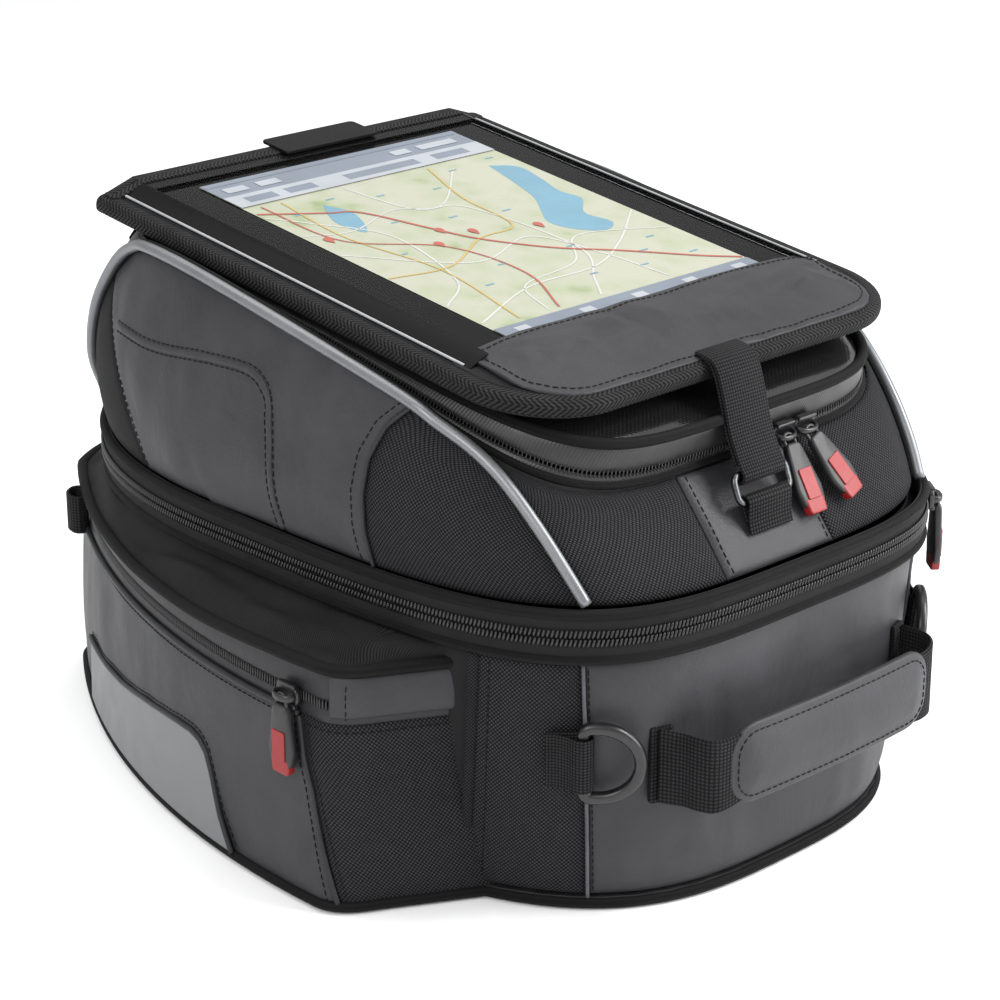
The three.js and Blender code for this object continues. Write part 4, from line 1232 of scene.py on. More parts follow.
TABLET_GLASS = dark_gloss("tablet_glass", 0.003, 0.08)
MAP = map_paper("map")
LAKE = screen_colour("map_lake", (0.12, 0.255, 0.335))
ROAD_RED = screen_colour("map_road_red", (0.34, 0.07, 0.045))
ROAD_YELLOW = screen_colour("map_road_yellow", (0.42, 0.3, 0.08))
ROAD_WHITE = screen_colour("map_road_white", (0.46, 0.46, 0.43))
BAR_GREY = screen_colour("map_bar", (0.15, 0.175, 0.215))
BAR_PALE = screen_colour("map_bar_pale", (0.33, 0.35, 0.38))

TABLET_REACH, TABLET_CORNER = TABLET_LENGTH / 2, 11
pad_piece("tablet_body", pad_shape(TABLET_HALF, TABLET_REACH, TABLET_CORNER, TABLET_THICK - 0.4, edge=1.6),
                        on_flap(0, 0, -0.2 - TABLET_THICK / 2), TABLET_GLASS, "tablet", replaces=["tablet"],
                        slot="tablet_black")
rim_loop = round_box(TABLET_HALF, TABLET_REACH, TABLET_CORNER, 0.5)
rim_line = top(rim_loop[:, 0], rim_loop[:, 1], -1.0)
swept_piece("tablet_rim", rim_line, OFF_THE_TOP, circle(0.45, 6), TABLET_EDGE, "tablet", closed=True)

SCREEN_HALF, SCREEN_LENGTH = 73.9, 197.0
SCREEN_LEVEL = -0.28


def decal(name, shapes, level, material):
    """Flat printed shapes on the screen, each an outline in across and along."""
    points, faces = [], []
    for shape in shapes:
        shape = np.asarray(shape, float)
        start = sum(len(p) for p in points)
        points.append(top(shape[:, 0], shape[:, 1], SCREEN_LEVEL + 0.06 * level))
        area = np.sum(shape[:, 0] * np.roll(shape[:, 1], -1) - shape[:, 1] * np.roll(shape[:, 0], -1))
        order = list(range(start, start + len(shape)))
        faces.append(order if area > 0 else order[::-1])
    return new_piece(name, np.vstack(points), faces, material, "tablet", smooth=False)


def block(u0, u1, w0, w1):
    return [(u0, w0), (u1, w0), (u1, w1), (u0, w1)]


def road(stops, width, count=70):
    """Outline pieces of a road along smooth stops."""
    line = smooth_path([(*p, 0) for p in stops], count)[:, :2]
    line[:, 0] = np.clip(line[:, 0], -SCREEN_HALF, SCREEN_HALF)
    along = np.gradient(line, axis=0)
    side = unit(np.stack([-along[:, 1], along[:, 0]], -1)) * width / 2
    left, right = line - side, line + side
    return [np.array([left[i], left[i + 1], right[i + 1], right[i]]) for i in range(count - 1)]



def blob(stops, count=60):
    stops = list(stops)
    return smooth_path([(*p, 0) for p in stops + stops[:1]], count)[:-1, :2]


half_length = SCREEN_LENGTH / 2
decal("screen_map", [block(-SCREEN_HALF, SCREEN_HALF, -half_length, half_length)], 1, MAP)
LAKE_EAST = [(57, 55), (68, 47), (66, 30), (62, 14), (64, 2), (52, -12), (55, -26), (45, -32), (34, -24),
             (30, -12), (37, 0), (46, 14), (52, 34)]
LAKE_WEST = [(-41, 55), (-36, 40), (-46, 20), (-50, 36)]
decal("map_lakes", [blob(LAKE_EAST), blob(LAKE_WEST)], 2, LAKE)
decal("map_roads_white", road([(-73, -60), (-50, -40), (-40, 10), (-60, 40), (-73, 55)], 1.0)
      + road([(-20, 66), (-10, 30), (12, 20), (20, -40), (0, -70), (-10, -84)], 1.0)
      + road([(73, -20), (40, -45), (10, -60), (-30, -62), (-73, -80)], 1.0)
      + road([(-73, 5), (-30, -30), (10, -20), (24, -50), (30, -84)], 1.0)
      + road([(-73, 30), (-50, 24), (-20, 34), (4, 28), (40, 60)], 0.8)
      + road([(-40, -84), (-30, -60), (6, -52), (30, -30), (73, -44)], 0.8), 3, ROAD_WHITE)
TOWNS = [(-60, 50), (-52, -8), (-44, -52), (-36, 58), (-30, 22), (-24, -38), (-14, 50), (-4, 14), (2, -66),
         (14, 44), (16, -38), (22, 8), (28, -70), (36, 58), (40, -58), (54, -48), (58, -70), (62, 62)]
decal("map_towns", [block(u, u + 4.5, w, w + 1.1) for u, w in TOWNS], 3, LAKE)
decal("map_roads_yellow", road([(-73, -25), (-42, -28), (-10, -11), (14, -6), (18, 30), (30, 66)], 1.0)
      + road([(-55, 66), (-58, 20), (-48, -30), (-56, -84)], 0.9), 4, ROAD_YELLOW)
ROUTE = [(-73, 60), (-46, 46), (-33, 39), (-20, 10), (-10, -11), (10, -35), (33, -53), (58, -75), (73, -86)]
BRANCH = [(-66, 66), (-62, 18), (-28, -11), (-20, -50), (-34, -84)]
decal("map_roads_red", road(ROUTE, 1.4) + road(BRANCH, 0.9), 5, ROAD_RED)
PINS = [(-66, 17), (-18, 1), (-6, -7), (-29, -11), (24, -16)]
PIN_SHAPE = [(0, 0), (1.7, 3.2), (2.1, 4.9), (1.2, 6.6), (0, 7.1), (-1.2, 6.6), (-2.1, 4.9), (-1.7, 3.2)]
decal("map_pins", [[(u + a, w + b) for a, b in PIN_SHAPE] for u, w in PINS], 6, ROAD_RED)

# Plain bars and blocks where a map program has its controls: starts and widths across.
STATUS_FOOT = half_length - 3.9
ICONS = [(-66, 16), (-44, 16), (-10, 42), (42, 20)]
LIGHT_ICONS = [(-68, 12), (-50, 12), (28, 10), (44, 22)]
decal("screen_bars", [block(-SCREEN_HALF, SCREEN_HALF, 82, STATUS_FOOT),
                      block(-SCREEN_HALF, SCREEN_HALF, -half_length, -half_length + 11)], 7, BAR_GREY)
decal("screen_bar_pale", [block(-SCREEN_HALF, SCREEN_HALF, 69, 82)]
      + [block(u, u + 7, -half_length + 3, -half_length + 8) for u in (-66, -30, 0, 30, 60)], 8, BAR_PALE)
decal("screen_bar_icons", [block(u, u + wide, 72.5, 78.5) for u, wide in ICONS]
      + [block(-SCREEN_HALF, SCREEN_HALF, STATUS_FOOT, half_length)], 9, BAR_GREY)
decal("screen_bar_light_icons", [block(u, u + wide, 85.5, 91.0) for u, wide in LIGHT_ICONS], 10, BAR_PALE)


# ---------- closing strap, ring and tab ----------

def leaning(degrees):
    """Directions up and off a rear wall that leans this far forward."""
    c, s = math.cos(math.radians(degrees)), math.sin(math.radians(degrees))
    return np.array([0, s, c]), np.array([0, -c, s])


ring_low, ring_high = box("closure_ring")
tab_low = box("closure_tab")[0]
CLOSE_Y, CLOSE_Z = leaning(21.469)
CLOSE_ORIGIN = np.array([CLOSURE_X, tab_low[1] + 0.9, tab_low[2] + 0.4])
RING_HALF = (ring_high[0] - ring_low[0]) / 2 - 1.5
RING_MIDDLE, RING_REACH = 17.5, 5.7


def closing(a, b, c):
    return CLOSE_ORIGIN + np.outer(a, [1, 0, 0]) + np.outer(b, CLOSE_Y) + np.outer(c, CLOSE_Z)


def across_band(line):
    """Directions off a band whose middle line lies in one upright plane, front to rear."""
    return np.cross(np.gradient(line, axis=0), [-1.0, 0, 0])


ring_loop = round_box(RING_HALF, RING_REACH, 3.2, 0.0)
ring_line = closing(ring_loop[:, 0], RING_MIDDLE + ring_loop[:, 1], 0)
swept_piece("closure_ring_wire", ring_line, CLOSE_Z, superellipse(2.5, 2.7, 2.4, 14), METAL, "upper_body",
            closed=True, replaces=["closure_ring"])

STRAP_WIDTH = 24.5
strap_stops = [(-143.5, 213.2), (-148.5, 212.6), (-153.0, 211.0), (-156.2, 206), (-159.3, 197), (-163.1, 184),
               (-168.6, 172.5), (-170.9, 169.4), (-170.9, 167.0), (-168.8, 165.3), (-166.8, 166.4)]
strap_line = smooth_path([(CLOSURE_X, y, z) for y, z in strap_stops], 70)
swept_piece("closure_strap_outer", strap_line + [0, -0.3, 0.2], across_band(strap_line),
            strip(1.5, STRAP_WIDTH, 0.6), WEBBING, "map_flap", replaces=["closure_strap"])
under = smooth_path([(CLOSURE_X, y + 1.9, z - 0.6) for y, z in strap_stops[1:7]], 40)
swept_piece("closure_strap_inner", under, across_band(under), strip(1.3, STRAP_WIDTH - 0.6, 0.5), WEBBING,
            "map_flap")
tab_stops = [(-1.2, -0.9), (4.0, -0.2), (8.6, 1.4), (11.8, 2.5), (14.2, 1.2), (13.6, -1.4), (10.5, -1.9),
             (4.0, -1.7)]
tab_line = smooth_path([(0, b, c) for b, c in tab_stops], 44)
tab_line = closing(*tab_line.T)
swept_piece("closure_tab_webbing", tab_line, across_band(tab_line), strip(1.4, STRAP_WIDTH + 0.4, 0.5),
            WEBBING_COARSE, "upper_body", replaces=["closure_tab"])


# ---------- side pockets ----------

COIL_Z = (box("left_pocket_zip")[0][2] + box("left_pocket_zip")[1][2]) / 2
LEATHER_TOP = 80.5


def pocket_top(s):
    """Height of the pocket's top piping: it falls a little towards the front."""
    return np.interp(s, pocket_at(np.array([140, 60, 0, -50, -80])), [98.0, 98.5, 100.0, 103.0, 104.0])


def pocket_leather_rear(z):
    """Distance along the face of the seam between leather and ballistic cloth, at each height."""
    return float(pocket_at(np.interp(z, [2, 32, 50, 63, 86], [-92, -84.6, -80, -75, -71])))


def reflective_top(y):
    """Height of the reflective patch's upper edge at each distance forwards."""
    return np.interp(y, [-30, -26, -21, -17.5, -14.5, -10.5, -5, 2, 14, 28, 50, 72, 100, 140],
                     [3, 9, 17, 26, 34, 41.6, 45.5, 47, 46.5, 45.2, 42.5, 39, 36, 33])


def pocket_line(ss, z, off=0.0):
    """A line along the pocket's face, off it by a distance, and the level directions off the face."""
    points = pocket_wall(ss, z)
    out = unit(np.cross(np.gradient(points, axis=0), UP))
    if np.sum(out[:, 0]) > 0:
        out = -out
    return points + out * off, out


def nearest_on(o, points, z):
    """The nearest point of a plan outline to each point, never turning back."""
    turns = np.linspace(0, math.pi, 900)
    loop = at_height(o, turns, z)
    pick = [np.argmin(np.sum((loop[:, :2] - p[:2]) ** 2, 1)) for p in points]
    return loop[np.maximum.accumulate(pick)]


GUSSET_ROWS = 22


def pocket_gusset():
    """Twill that slopes from the pocket's top piping up to the waist, with soft folds."""
    ss = np.linspace(0.5, POCKET_LENGTH - 1, 170)
    edge, _ = pocket_line(ss, pocket_top(ss))
    inside = nearest_on(WAIST, edge, 112.0) + (np.array([0, MID_Y, 0]) - edge) * [0.02, 0.01, 0]
    points = ruled(edge, inside, GUSSET_ROWS)
    shares = np.linspace(0, 1, GUSSET_ROWS)[:, None]
    arch = 4 * shares * (1 - shares)
    folds = noise_at(points * [1, 0.55, 1.6], 24, 6) * 5.6 + noise_at(points * [1.2, 0.4, 1], 10, 3) * 2.0
    points[..., 2] += arch * (1.5 + folds * np.minimum(1, np.linalg.norm(edge - inside, axis=1) / 22))
    return points


def ruled(low, high, count):
    """Grid of straight lines from one row of points to another."""
    shares = np.linspace(0, 1, count)[:, None, None]
    return low * (1 - shares) + high * shares


def banded_wall(s, share):
    """Pocket face between its zip and its top piping, by share of that height."""
    s, share = np.broadcast_arrays(np.asarray(s, float), share)
    return pocket_wall(s, COIL_Z + 1.0 + (pocket_top(s) - COIL_Z - 1.0) * share)


def surface_piece(name, points, material, body, mirror, away, **more):
    """A sheet from a grid of points, turned so that its faces look along away."""
    flip = bool(np.sum(normals_of(points) * away) < 0)
    uv = np.stack([lengths(points, 1), lengths(points, 0)], -1).reshape(-1, 2)
    if mirror:
        points = points * [-1, 1, 1]
        flip = not flip
    return new_piece(name, points.reshape(-1, 3), grid_faces(*points.shape[:2], flip=flip), material, body,
                     uv, **more)


OUTWARD = np.array([-1.0, -0.2, 0])              # roughly off the left pocket's face
FACE_START, FACE_END, FACE_FOOT = 2.0, POCKET_LENGTH - 0.5, 1.5
WHOLE_FACE = np.linspace(0.5, POCKET_LENGTH - 0.6, 200)
SEAM_FOOT, SEAM_TOP = 2.0, 80.0
GARAGE_START, GARAGE_END = float(pocket_at(-88)), POCKET_LENGTH - 1.5
GARAGE_LOW, GARAGE_HIGH = 84.0, 101.5
PATCH_FOOT, PATCH_OFF = 2.2, 2.1                 # the reflective patch's lower edge, and its lift off the wall


def pocket_panel(name, left, right, low, high, material, flipped, surface=pocket_wall, **more):
    return patch(name, surface, left, right, low, high, material, "lower_body", outward=OUTWARD,
                 mirror=flipped, **more)


def pocket_cord(name, line, out, radius, flipped, material=TWILL_CORD, sides=10):
    swept_piece(name, line, out, circle(radius, sides), material, "lower_body", mirror=flipped)


def pocket_panels(side, flipped):
    """The sewn panels of a pocket's face. Gives back the two that are stitched later."""
    leather_panel = pocket_panel(f"pocket_leather_{side}", const(FACE_START), pocket_leather_rear,
                                 FACE_FOOT, LEATHER_TOP, LEATHER, flipped, puff=1.5, wrinkle=0.5,
                                 replaces=[f"{side}_pocket"])
    ballistic_panel = pocket_panel(f"pocket_ballistic_{side}", pocket_leather_rear, const(FACE_END),
                                   FACE_FOOT, LEATHER_TOP + 0.5, BALLISTIC, flipped, puff=1.6, wrinkle=1.0)
    pocket_panel(f"pocket_band_low_{side}", const(FACE_START), const(FACE_END), LEATHER_TOP, COIL_Z - 1.0,
                 LEATHER_TRIM, flipped, step=3.0, puff=0.7, sink=0.8, wrinkle=0.1,
                 replaces=[f"{side}_pocket_zip"])
    pocket_panel(f"pocket_band_high_{side}", const(FACE_START), const(FACE_END), 0.0, 1.0, LEATHER_TRIM,
                 flipped, surface=banded_wall, step=3.0, puff=1.2, sink=0.8, wrinkle=0.15)
    return leather_panel, ballistic_panel


def pocket_coil(side, flipped):
    """The zip's teeth, on the circle that its slider runs along."""
    run = np.arange(4.0, pocket_at(-93), 1.6)
    teeth, out = pocket_line(run, COIL_Z, 0.3)
    on_arc = (teeth[:, 1] > -82) & (run > pocket_at(140))
    chain_radius = POCKET_RADIUS - POCKET_LEAN * COIL_Z / POCKET_TOP
    teeth[on_arc, :2] = POCKET_CENTRE + chain_radius * unit(teeth[on_arc, :2] - POCKET_CENTRE)
    frames = list(zip(teeth, np.broadcast_to(UP, teeth.shape), out, np.cross(UP, out)))
    points, faces = placed_many(*capsule(4.4, 0.55, 5), frames)
    if flipped:
        points, faces = points * [-1, 1, 1], [f[::-1] for f in faces]
    new_piece(f"pocket_coil_{side}", points, faces, BAND, "lower_body", slot="black_plastic")


def pocket_edges(side, flipped):
    """Piping, rolled edges and seams of a pocket, and the cloth that closes it above and below."""
    line, out = pocket_line(WHOLE_FACE, pocket_top(WHOLE_FACE), 0.8)
    pocket_cord(f"pocket_piping_{side}", line, out, 2.6, flipped, sides=12)
    line, out = pocket_line(np.linspace(FACE_START, pocket_leather_rear(SEAM_TOP), 120), LEATHER_TOP + 0.6,
                            0.9)
    pocket_cord(f"pocket_leather_roll_{side}", line, out, 1.5, flipped, LEATHER_TRIM)
    line, out = pocket_line(WHOLE_FACE, 2.4, 0.6)
    pocket_cord(f"pocket_foot_cord_{side}", line, out, 2.1, flipped)
    edge = np.array([pocket_wall(pocket_leather_rear(z), z) for z in np.linspace(SEAM_FOOT, SEAM_TOP, 40)])
    _, out = pocket_line(np.linspace(pocket_leather_rear(SEAM_FOOT), pocket_leather_rear(SEAM_TOP), 40), 40.0)
    swept_piece(f"pocket_leather_edge_{side}", edge + out * 0.9, out, strip(1.8, 2.4, 0.8), LEATHER_TRIM,
                "lower_body", mirror=flipped)
    front = np.array([pocket_wall(1.6, z) for z in np.linspace(SEAM_FOOT, pocket_top(1.6), 40)])
    pocket_cord(f"pocket_front_seam_{side}", front, outward_of(front), 2.9, flipped, sides=12)
    surface_piece(f"pocket_gusset_{side}", pocket_gusset(), TWILL, "lower_body", flipped, UP)
    foot, _ = pocket_line(WHOLE_FACE, 1.0)
    surface_piece(f"pocket_floor_{side}", ruled(foot, nearest_on(BASE, foot, 1.0), 8), TWILL, "lower_body",
                  flipped, -UP)


def reflective_patch(side, flipped, leather_panel):
    """A sheet over the leather whose upper edge falls away to the rear, with its border and stitching."""
    ys = np.concatenate([np.linspace(134, 15, 70), np.linspace(14, -29.6, 70)])
    s = pocket_at(ys)
    _, out = pocket_line(s, 30.0)
    heights = PATCH_FOOT + (reflective_top(ys) - PATCH_FOOT) * np.linspace(0, 1, 16)[:, None]
    sheet_points = pocket_wall(s, heights) + out * PATCH_OFF
    surface_piece(f"reflective_patch_{side}", sheet_points, REFLECTIVE_PATCH, "lower_body", flipped, OUTWARD)
    border = sheet_points[-1]
    pocket_cord(f"reflective_border_{side}", even(border, 1.5)[0], np.array([-1.0, 0, 0]), 1.25, flipped,
                LEATHER_TRIM, 8)
    stitch(border + [0, -1.2, 2.8], leather_panel, "lower_body", mirror=flipped)


def pocket_stitching(flipped, leather_panel, ballistic_panel):
    """Stitches beside the seam between the two panels, and under the zip band."""
    for panel, off_seam, start, end, below, count in (
            (leather_panel, -4.0, 4.0, pocket_leather_rear(77) - 4, 3.4, 100),
            (ballistic_panel, 4.2, pocket_leather_rear(77) + 4, POCKET_LENGTH - 3, 3.0, 60)):
        seam = [pocket_wall(pocket_leather_rear(z) + off_seam, z) for z in np.linspace(3, 79, 30)]
        stitch(seam, panel, "lower_body", mirror=flipped)
        stitch(pocket_line(np.linspace(start, end, count), LEATHER_TOP - below)[0], panel, "lower_body",
               mirror=flipped)


def pocket_garage(side, flipped):
    """Leather tab over the rear end of the pocket's zip."""
    garage = pocket_panel(f"pocket_garage_{side}", const(GARAGE_START), const(GARAGE_END), GARAGE_LOW,
                          GARAGE_HIGH, LEATHER, flipped, step=2.5, puff=1.2, sink=1.2, lift=2.2,
                          wrinkle=0.35)
    stitch([pocket_wall(GARAGE_START + 6.5, z) for z in np.linspace(82, 100, 20)], garage, "lower_body",
           mirror=flipped)


for side, flipped in SIDES:
    leather_panel, ballistic_panel = pocket_panels(side, flipped)
    pocket_coil(side, flipped)
    pocket_edges(side, flipped)
    reflective_patch(side, flipped, leather_panel)
    pocket_stitching(flipped, leather_panel, ballistic_panel)
    pocket_garage(side, flipped)


# ---------- cords and edges of the lower body ----------

row, out = even_loop(BASE, 2.3)
swept_piece("base_cord", row + out * 0.5, out, circle(2.2), TWILL_CORD, "lower_body", closed=True)
WALL_SHARES, STITCH_SHARES = np.linspace(0, 1, 50), np.linspace(0.02, 0.98, 60)


def wall_seam(name, turn, profile, material, panel, stitch_turn, flipped, wobble=0.0):
    """An edge strip up the lower wall at one turn, and the stitches beside it on a panel."""
    line = lower_wall(np.full(WALL_SHARES.shape, turn), WALL_SHARES)
    away = outward_of(line)
    raised = line + away * (1.0 + noise_at(line, 9, 4)[:, None] * wobble)
    swept_piece(name, raised, away, profile, material, "lower_body", mirror=flipped)
    stitch(lower_wall(np.full(STITCH_SHARES.shape, turn + math.radians(stitch_turn)), STITCH_SHARES),
           bpy.data.objects[panel], "lower_body", mirror=flipped)


for side, flipped in SIDES:
    wall_seam(f"rear_leather_edge_{side}", REAR_TURN, strip(2.4, 1.3, 0.6), LEATHER_EDGE, "lower_rear",
              1.25, flipped, wobble=0.35)
    wall_seam(f"corner_fold_{side}", POCKET_END_TURN, strip(2.4, 5.0, 1.1), BALLISTIC_FINE,
              f"lower_corner_{side}", 3.2, flipped)


# ---------- seams of the upper body ----------

def side_point(surface, y, z):
    """Point of a wall's left side that is y forward and z high."""
    shares = np.linspace(0.01, 1, 50)
    points = np.array([surface(turn_at(surface, v, y), v) for v in shares])
    share = np.interp(z, points[:, 2], shares)
    return surface(turn_at(surface, share, y), share)


channel_stops = [(94, 195), (62, 194), (28, 197), (2, 198), (-12, 192), (-17, 179), (-21, 163), (-24, 147),
                 (-27, 136)]
outer_stops = [(y + 4.6 * min(1, (198 - z) / 12 if y < 5 else 0), z - 4.4 * (1 if y > -14 else 0.15))
               for y, z in channel_stops]
channel = smooth_path([side_point(upper_wall, y, z) for y, z in channel_stops], 90)
second = smooth_path([side_point(upper_wall, y, z) for y, z in outer_stops], 90)
for side, flipped in SIDES:
    panel = bpy.data.objects[f"upper_leather_{side}"]
    stitch(channel, panel, "upper_body", mirror=flipped)
    stitch(second, panel, "upper_body", mirror=flipped)
    middle = (channel + second) / 2
    found = [panel.closest_point_on_mesh(Vector(p * [-1 if flipped else 1, 1, 1] * MM)) for p in middle]
    on_panel = np.array([f[1] for f in found]) / MM
    off_panel = np.array([f[2] for f in found])
    points, faces, uv = sweep(on_panel + off_panel * 0.05, off_panel, strip(1.1, 3.2, 0.5))
    new_piece(f"seam_welt_{side}", points, faces, LEATHER, "upper_body", uv)
    for turn_of, shift in ((leather_rear, -1.5), (leather_front, 1.5)):
        shares = np.linspace(0.03, 0.97, 50)
        line = np.array([upper_wall(turn_of(v) + math.radians(shift), v) for v in shares])
        stitch(line, panel, "upper_body", mirror=flipped)
    edge = np.array([upper_wall(leather_rear(v), v) for v in np.linspace(0, WALL_TOP, 50)])
    away = outward_of(edge)
    swept_piece(f"upper_leather_edge_{side}", edge + away * 1.1, away, strip(1.6, 1.8, 0.7), LEATHER_TRIM,
                "upper_body", mirror=flipped)
closure_panel = bpy.data.objects["closure_leather"]
for x in (PATCH_X[0] + 3.2, PATCH_X[1] - 3.2):
    line = np.array([upper_wall(at_x_rear(upper_wall, v, x), v) for v in np.linspace(0.03, 0.97, 40)])
    stitch(line, closure_panel, "upper_body")


# ---------- grab handle ----------

grip_high = box("handle_grip")[1]
patch_low, patch_high = box("handle_patch_right")
HANDLE_Z = (patch_low[2] + patch_high[2]) / 2
HANDLE_HEIGHT = patch_high[2] - patch_low[2]
GRIP_HALF, GRIP_SHIFT = grip_high[0] + 4.0, 3.0


def grip_place(a, b, c):
    """The grip bows out behind the bag, most at its middle."""
    bow = 2.4 * (1 - (a / GRIP_HALF) ** 2)
    return np.stack([a + GRIP_SHIFT, grip_high[1] - 1.6 - c - bow, HANDLE_Z + b], -1)


GRIP_REACH, GRIP_CORNER, GRIP_SEAM = HANDLE_HEIGHT / 2 + 0.6, 13, 3.0
grip_shape = pad_shape(GRIP_HALF, GRIP_REACH, GRIP_CORNER, 2.8, crown=3.4, edge=1.0, belly=1.0, reach=7.5)
grip = pad_piece("handle_grip_pad", grip_shape, grip_place, LEATHER, "handle", ripple=0.35,
                 replaces=["handle_grip"])
loop = round_box(GRIP_HALF, GRIP_REACH, GRIP_CORNER, GRIP_SEAM)
loop = np.vstack([loop, loop[:1]])
stitch(grip_place(loop[:, 0], loop[:, 1], np.full(len(loop), 3.0)), grip, "handle")
LEG_START, LEG_RUN = 73.5, 23.0                  # where a leg starts, and the width over which it narrows
LEG_BULGE = {"left": 0.25, "right": 1.0}         # the right leg stands out in a rounder loop
ANCHOR_TURN, ANCHOR_SHARE = math.radians(161.4), 0.57


def handle_leg(side, flipped):
    """Webbing from the wall to the grip, along a curved path."""
    bulge = LEG_BULGE[side]
    stops = [(-LEG_START, patch_low[1] + 3.4), (-69.5 - 4.0 * bulge, patch_low[1] - 0.6),
             (-65.5 - 8.5 * bulge, -188.5), (-64.0 - 9.0 * bulge, -195.0), (-61.0 - 5.5 * bulge, -200.6),
             (-50.5, -202.6)]
    line = smooth_path([(x, y, HANDLE_Z) for x, y in stops], 46)
    normals = np.cross(np.gradient(line, axis=0), UP)
    points, faces, uv = sweep(line, normals, strip(2.0, HANDLE_HEIGHT - 1.0, 0.8))
    share = np.clip((points[:, 0] + LEG_START) / LEG_RUN, 0, 1)
    points[:, 2] = HANDLE_Z + (points[:, 2] - HANDLE_Z) * (1 - 0.07 * share) - 1.6 * np.sin(share * math.pi)
    if flipped:
        points, faces = points * [-1, 1, 1], [f[::-1] for f in faces]
    leg = new_piece(f"handle_webbing_{side}", points, faces, WEBBING_COARSE, None, uv,
                    replaces=[f"handle_leg_{side}"])
    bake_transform(leg)


def handle_anchor(side, flipped):
    """Webbing patch sewn to the wall, under the end of a leg."""
    centre = lower_wall(np.array(ANCHOR_TURN), ANCHOR_SHARE)
    before, after = (lower_wall(np.array(ANCHOR_TURN + step), ANCHOR_SHARE) for step in (-0.02, 0.02))
    ahead = unit(after - before)
    off = unit(np.cross(ahead, UP))
    off *= -np.sign(off[1])
    pad_piece(f"handle_anchor_{side}", pad_shape(5.0, HANDLE_HEIGHT / 2, 1.5, 2.2, edge=0.7),
              plane_at(centre + off * 2.6 - ahead * 4.0 + [0, 0, HANDLE_Z - centre[2]], ahead, UP, off),
              WEBBING_COARSE, "lower_body", mirror=flipped, replaces=[f"handle_patch_{side}"])


for side, flipped in SIDES:
    handle_leg(side, flipped)
    handle_anchor(side, flipped)


# ---------- D-rings, their tabs and the front loops ----------

# The left D-ring's own axes: X away from its tab, Y up along its bar, Z towards the wall's outside.
RING_ORIGIN = np.array([-97.84, -159.77, 71.24])
RING_X, RING_Y, RING_Z = (np.array(v) for v in ((0.7016, -0.7126, 0), (-0.0697, -0.0686, 0.9952),
                                                (-0.7092, -0.6982, -0.0978)))
RING_WIRE = 2.4
RING_HALF_Y = (box("d_ring_left")[1][2] - box("d_ring_left")[0][2]) / 2 - RING_WIRE - 0.1
RING_REACH_X = RING_HALF_Y * 1.57


def ring_place(a, b, c):
    return RING_ORIGIN + np.outer(a, RING_X) + np.outer(b, RING_Y) + np.outer(c, RING_Z)


def d_shape():
    """Centre line of a D-ring: straight bar, two corners, a straight part and a half ellipse."""
    bar_x, corner, straight = 2.2, 3.4, 8.0
    bar = [(bar_x, b) for b in np.linspace(-RING_HALF_Y + corner, RING_HALF_Y - corner, 12)]
    quarter = np.radians(np.linspace(0, 90, 7))[1:]
    turn_up = [(bar_x + corner - corner * math.cos(a), RING_HALF_Y - corner + corner * math.sin(a))
               for a in quarter]
    bend = np.radians(np.linspace(90, -90, 26))[1:-1]
    bow = [(straight + (RING_REACH_X - straight) * math.cos(a), RING_HALF_Y * math.sin(a)) for a in bend]
    turn_down = [(x, -y) for x, y in turn_up[::-1]]
    return np.array(bar + turn_up + [(straight, RING_HALF_Y)] + bow + [(straight, -RING_HALF_Y)] + turn_down)


RING_OFF = 6.0                                   # the D-ring's height over its tab's foot
TAB_STOPS = [(-12.5, 4.2), (-8, 4.6), (-3.4, 6.6), (-0.4, 9.1), (2.8, 9.7), (5.6, 7.6), (5.2, 4.4), (2.2, 2.5),
             (-4, 2.6), (-12.2, 2.7)]
LOOP_ALONG, LOOP_OFF = 7.4, 4.6                  # half lengths of the front loop's ellipse


def d_ring(side, flipped):
    shape = d_shape()
    line = ring_place(shape[:, 0], shape[:, 1], RING_OFF)
    swept_piece(f"d_ring_wire_{side}", line, RING_Z, superellipse(2 * RING_WIRE, 2 * RING_WIRE + 0.2, 2.6, 14),
                BLACK_METAL, f"d_ring_{side}", closed=True, mirror=flipped, replaces=[f"d_ring_{side}"])


def d_ring_tab(side, flipped):
    """Webbing folded round the bar of a D-ring and sewn to the wall."""
    line = smooth_path([(a, 0, c) for a, c in TAB_STOPS], 60)
    normals = np.cross(np.gradient(line, axis=0), [0, 1.0, 0])
    normals = np.outer(normals[:, 0], RING_X) + np.outer(normals[:, 2], RING_Z)
    swept_piece(f"d_ring_webbing_{side}", ring_place(*line.T), normals, strip(1.4, 23.6, 0.5), WEBBING,
                "lower_body", mirror=flipped, replaces=[f"d_ring_tab_{side}"])


def front_loop(side, flipped):
    """Webbing loop at the front end of a pocket's zip."""
    low, high = box("front_loop_left")
    middle = (low + high) / 2
    before, after = (pocket_wall(pocket_at(middle[1]) + step, 90.0) for step in (-2.0, 2.0))
    tangent = unit(after - before)
    off = np.cross(tangent, UP)
    off *= -np.sign(off[0])
    angles = np.linspace(0, FULL, 32, endpoint=False)
    c, s = np.cos(angles), np.sin(angles)
    ellipse = middle + np.outer(c * LOOP_ALONG, tangent) + np.outer(s * LOOP_OFF, off)
    normals = np.outer(c / LOOP_ALONG, tangent) + np.outer(s / LOOP_OFF, off)
    swept_piece(f"front_loop_webbing_{side}", ellipse, normals, strip(1.8, high[2] - low[2], 0.7), WEBBING,
                "lower_body", closed=True, mirror=flipped, replaces=[f"front_loop_{side}"])


for side, flipped in SIDES:
    d_ring(side, flipped)
    d_ring_tab(side, flipped)
    front_loop(side, flipped)


# ---------- zip sliders and pulls ----------

PIVOT_OFF = 6.4
PULL_START, PULL_LENGTH = 3.0, 31.0


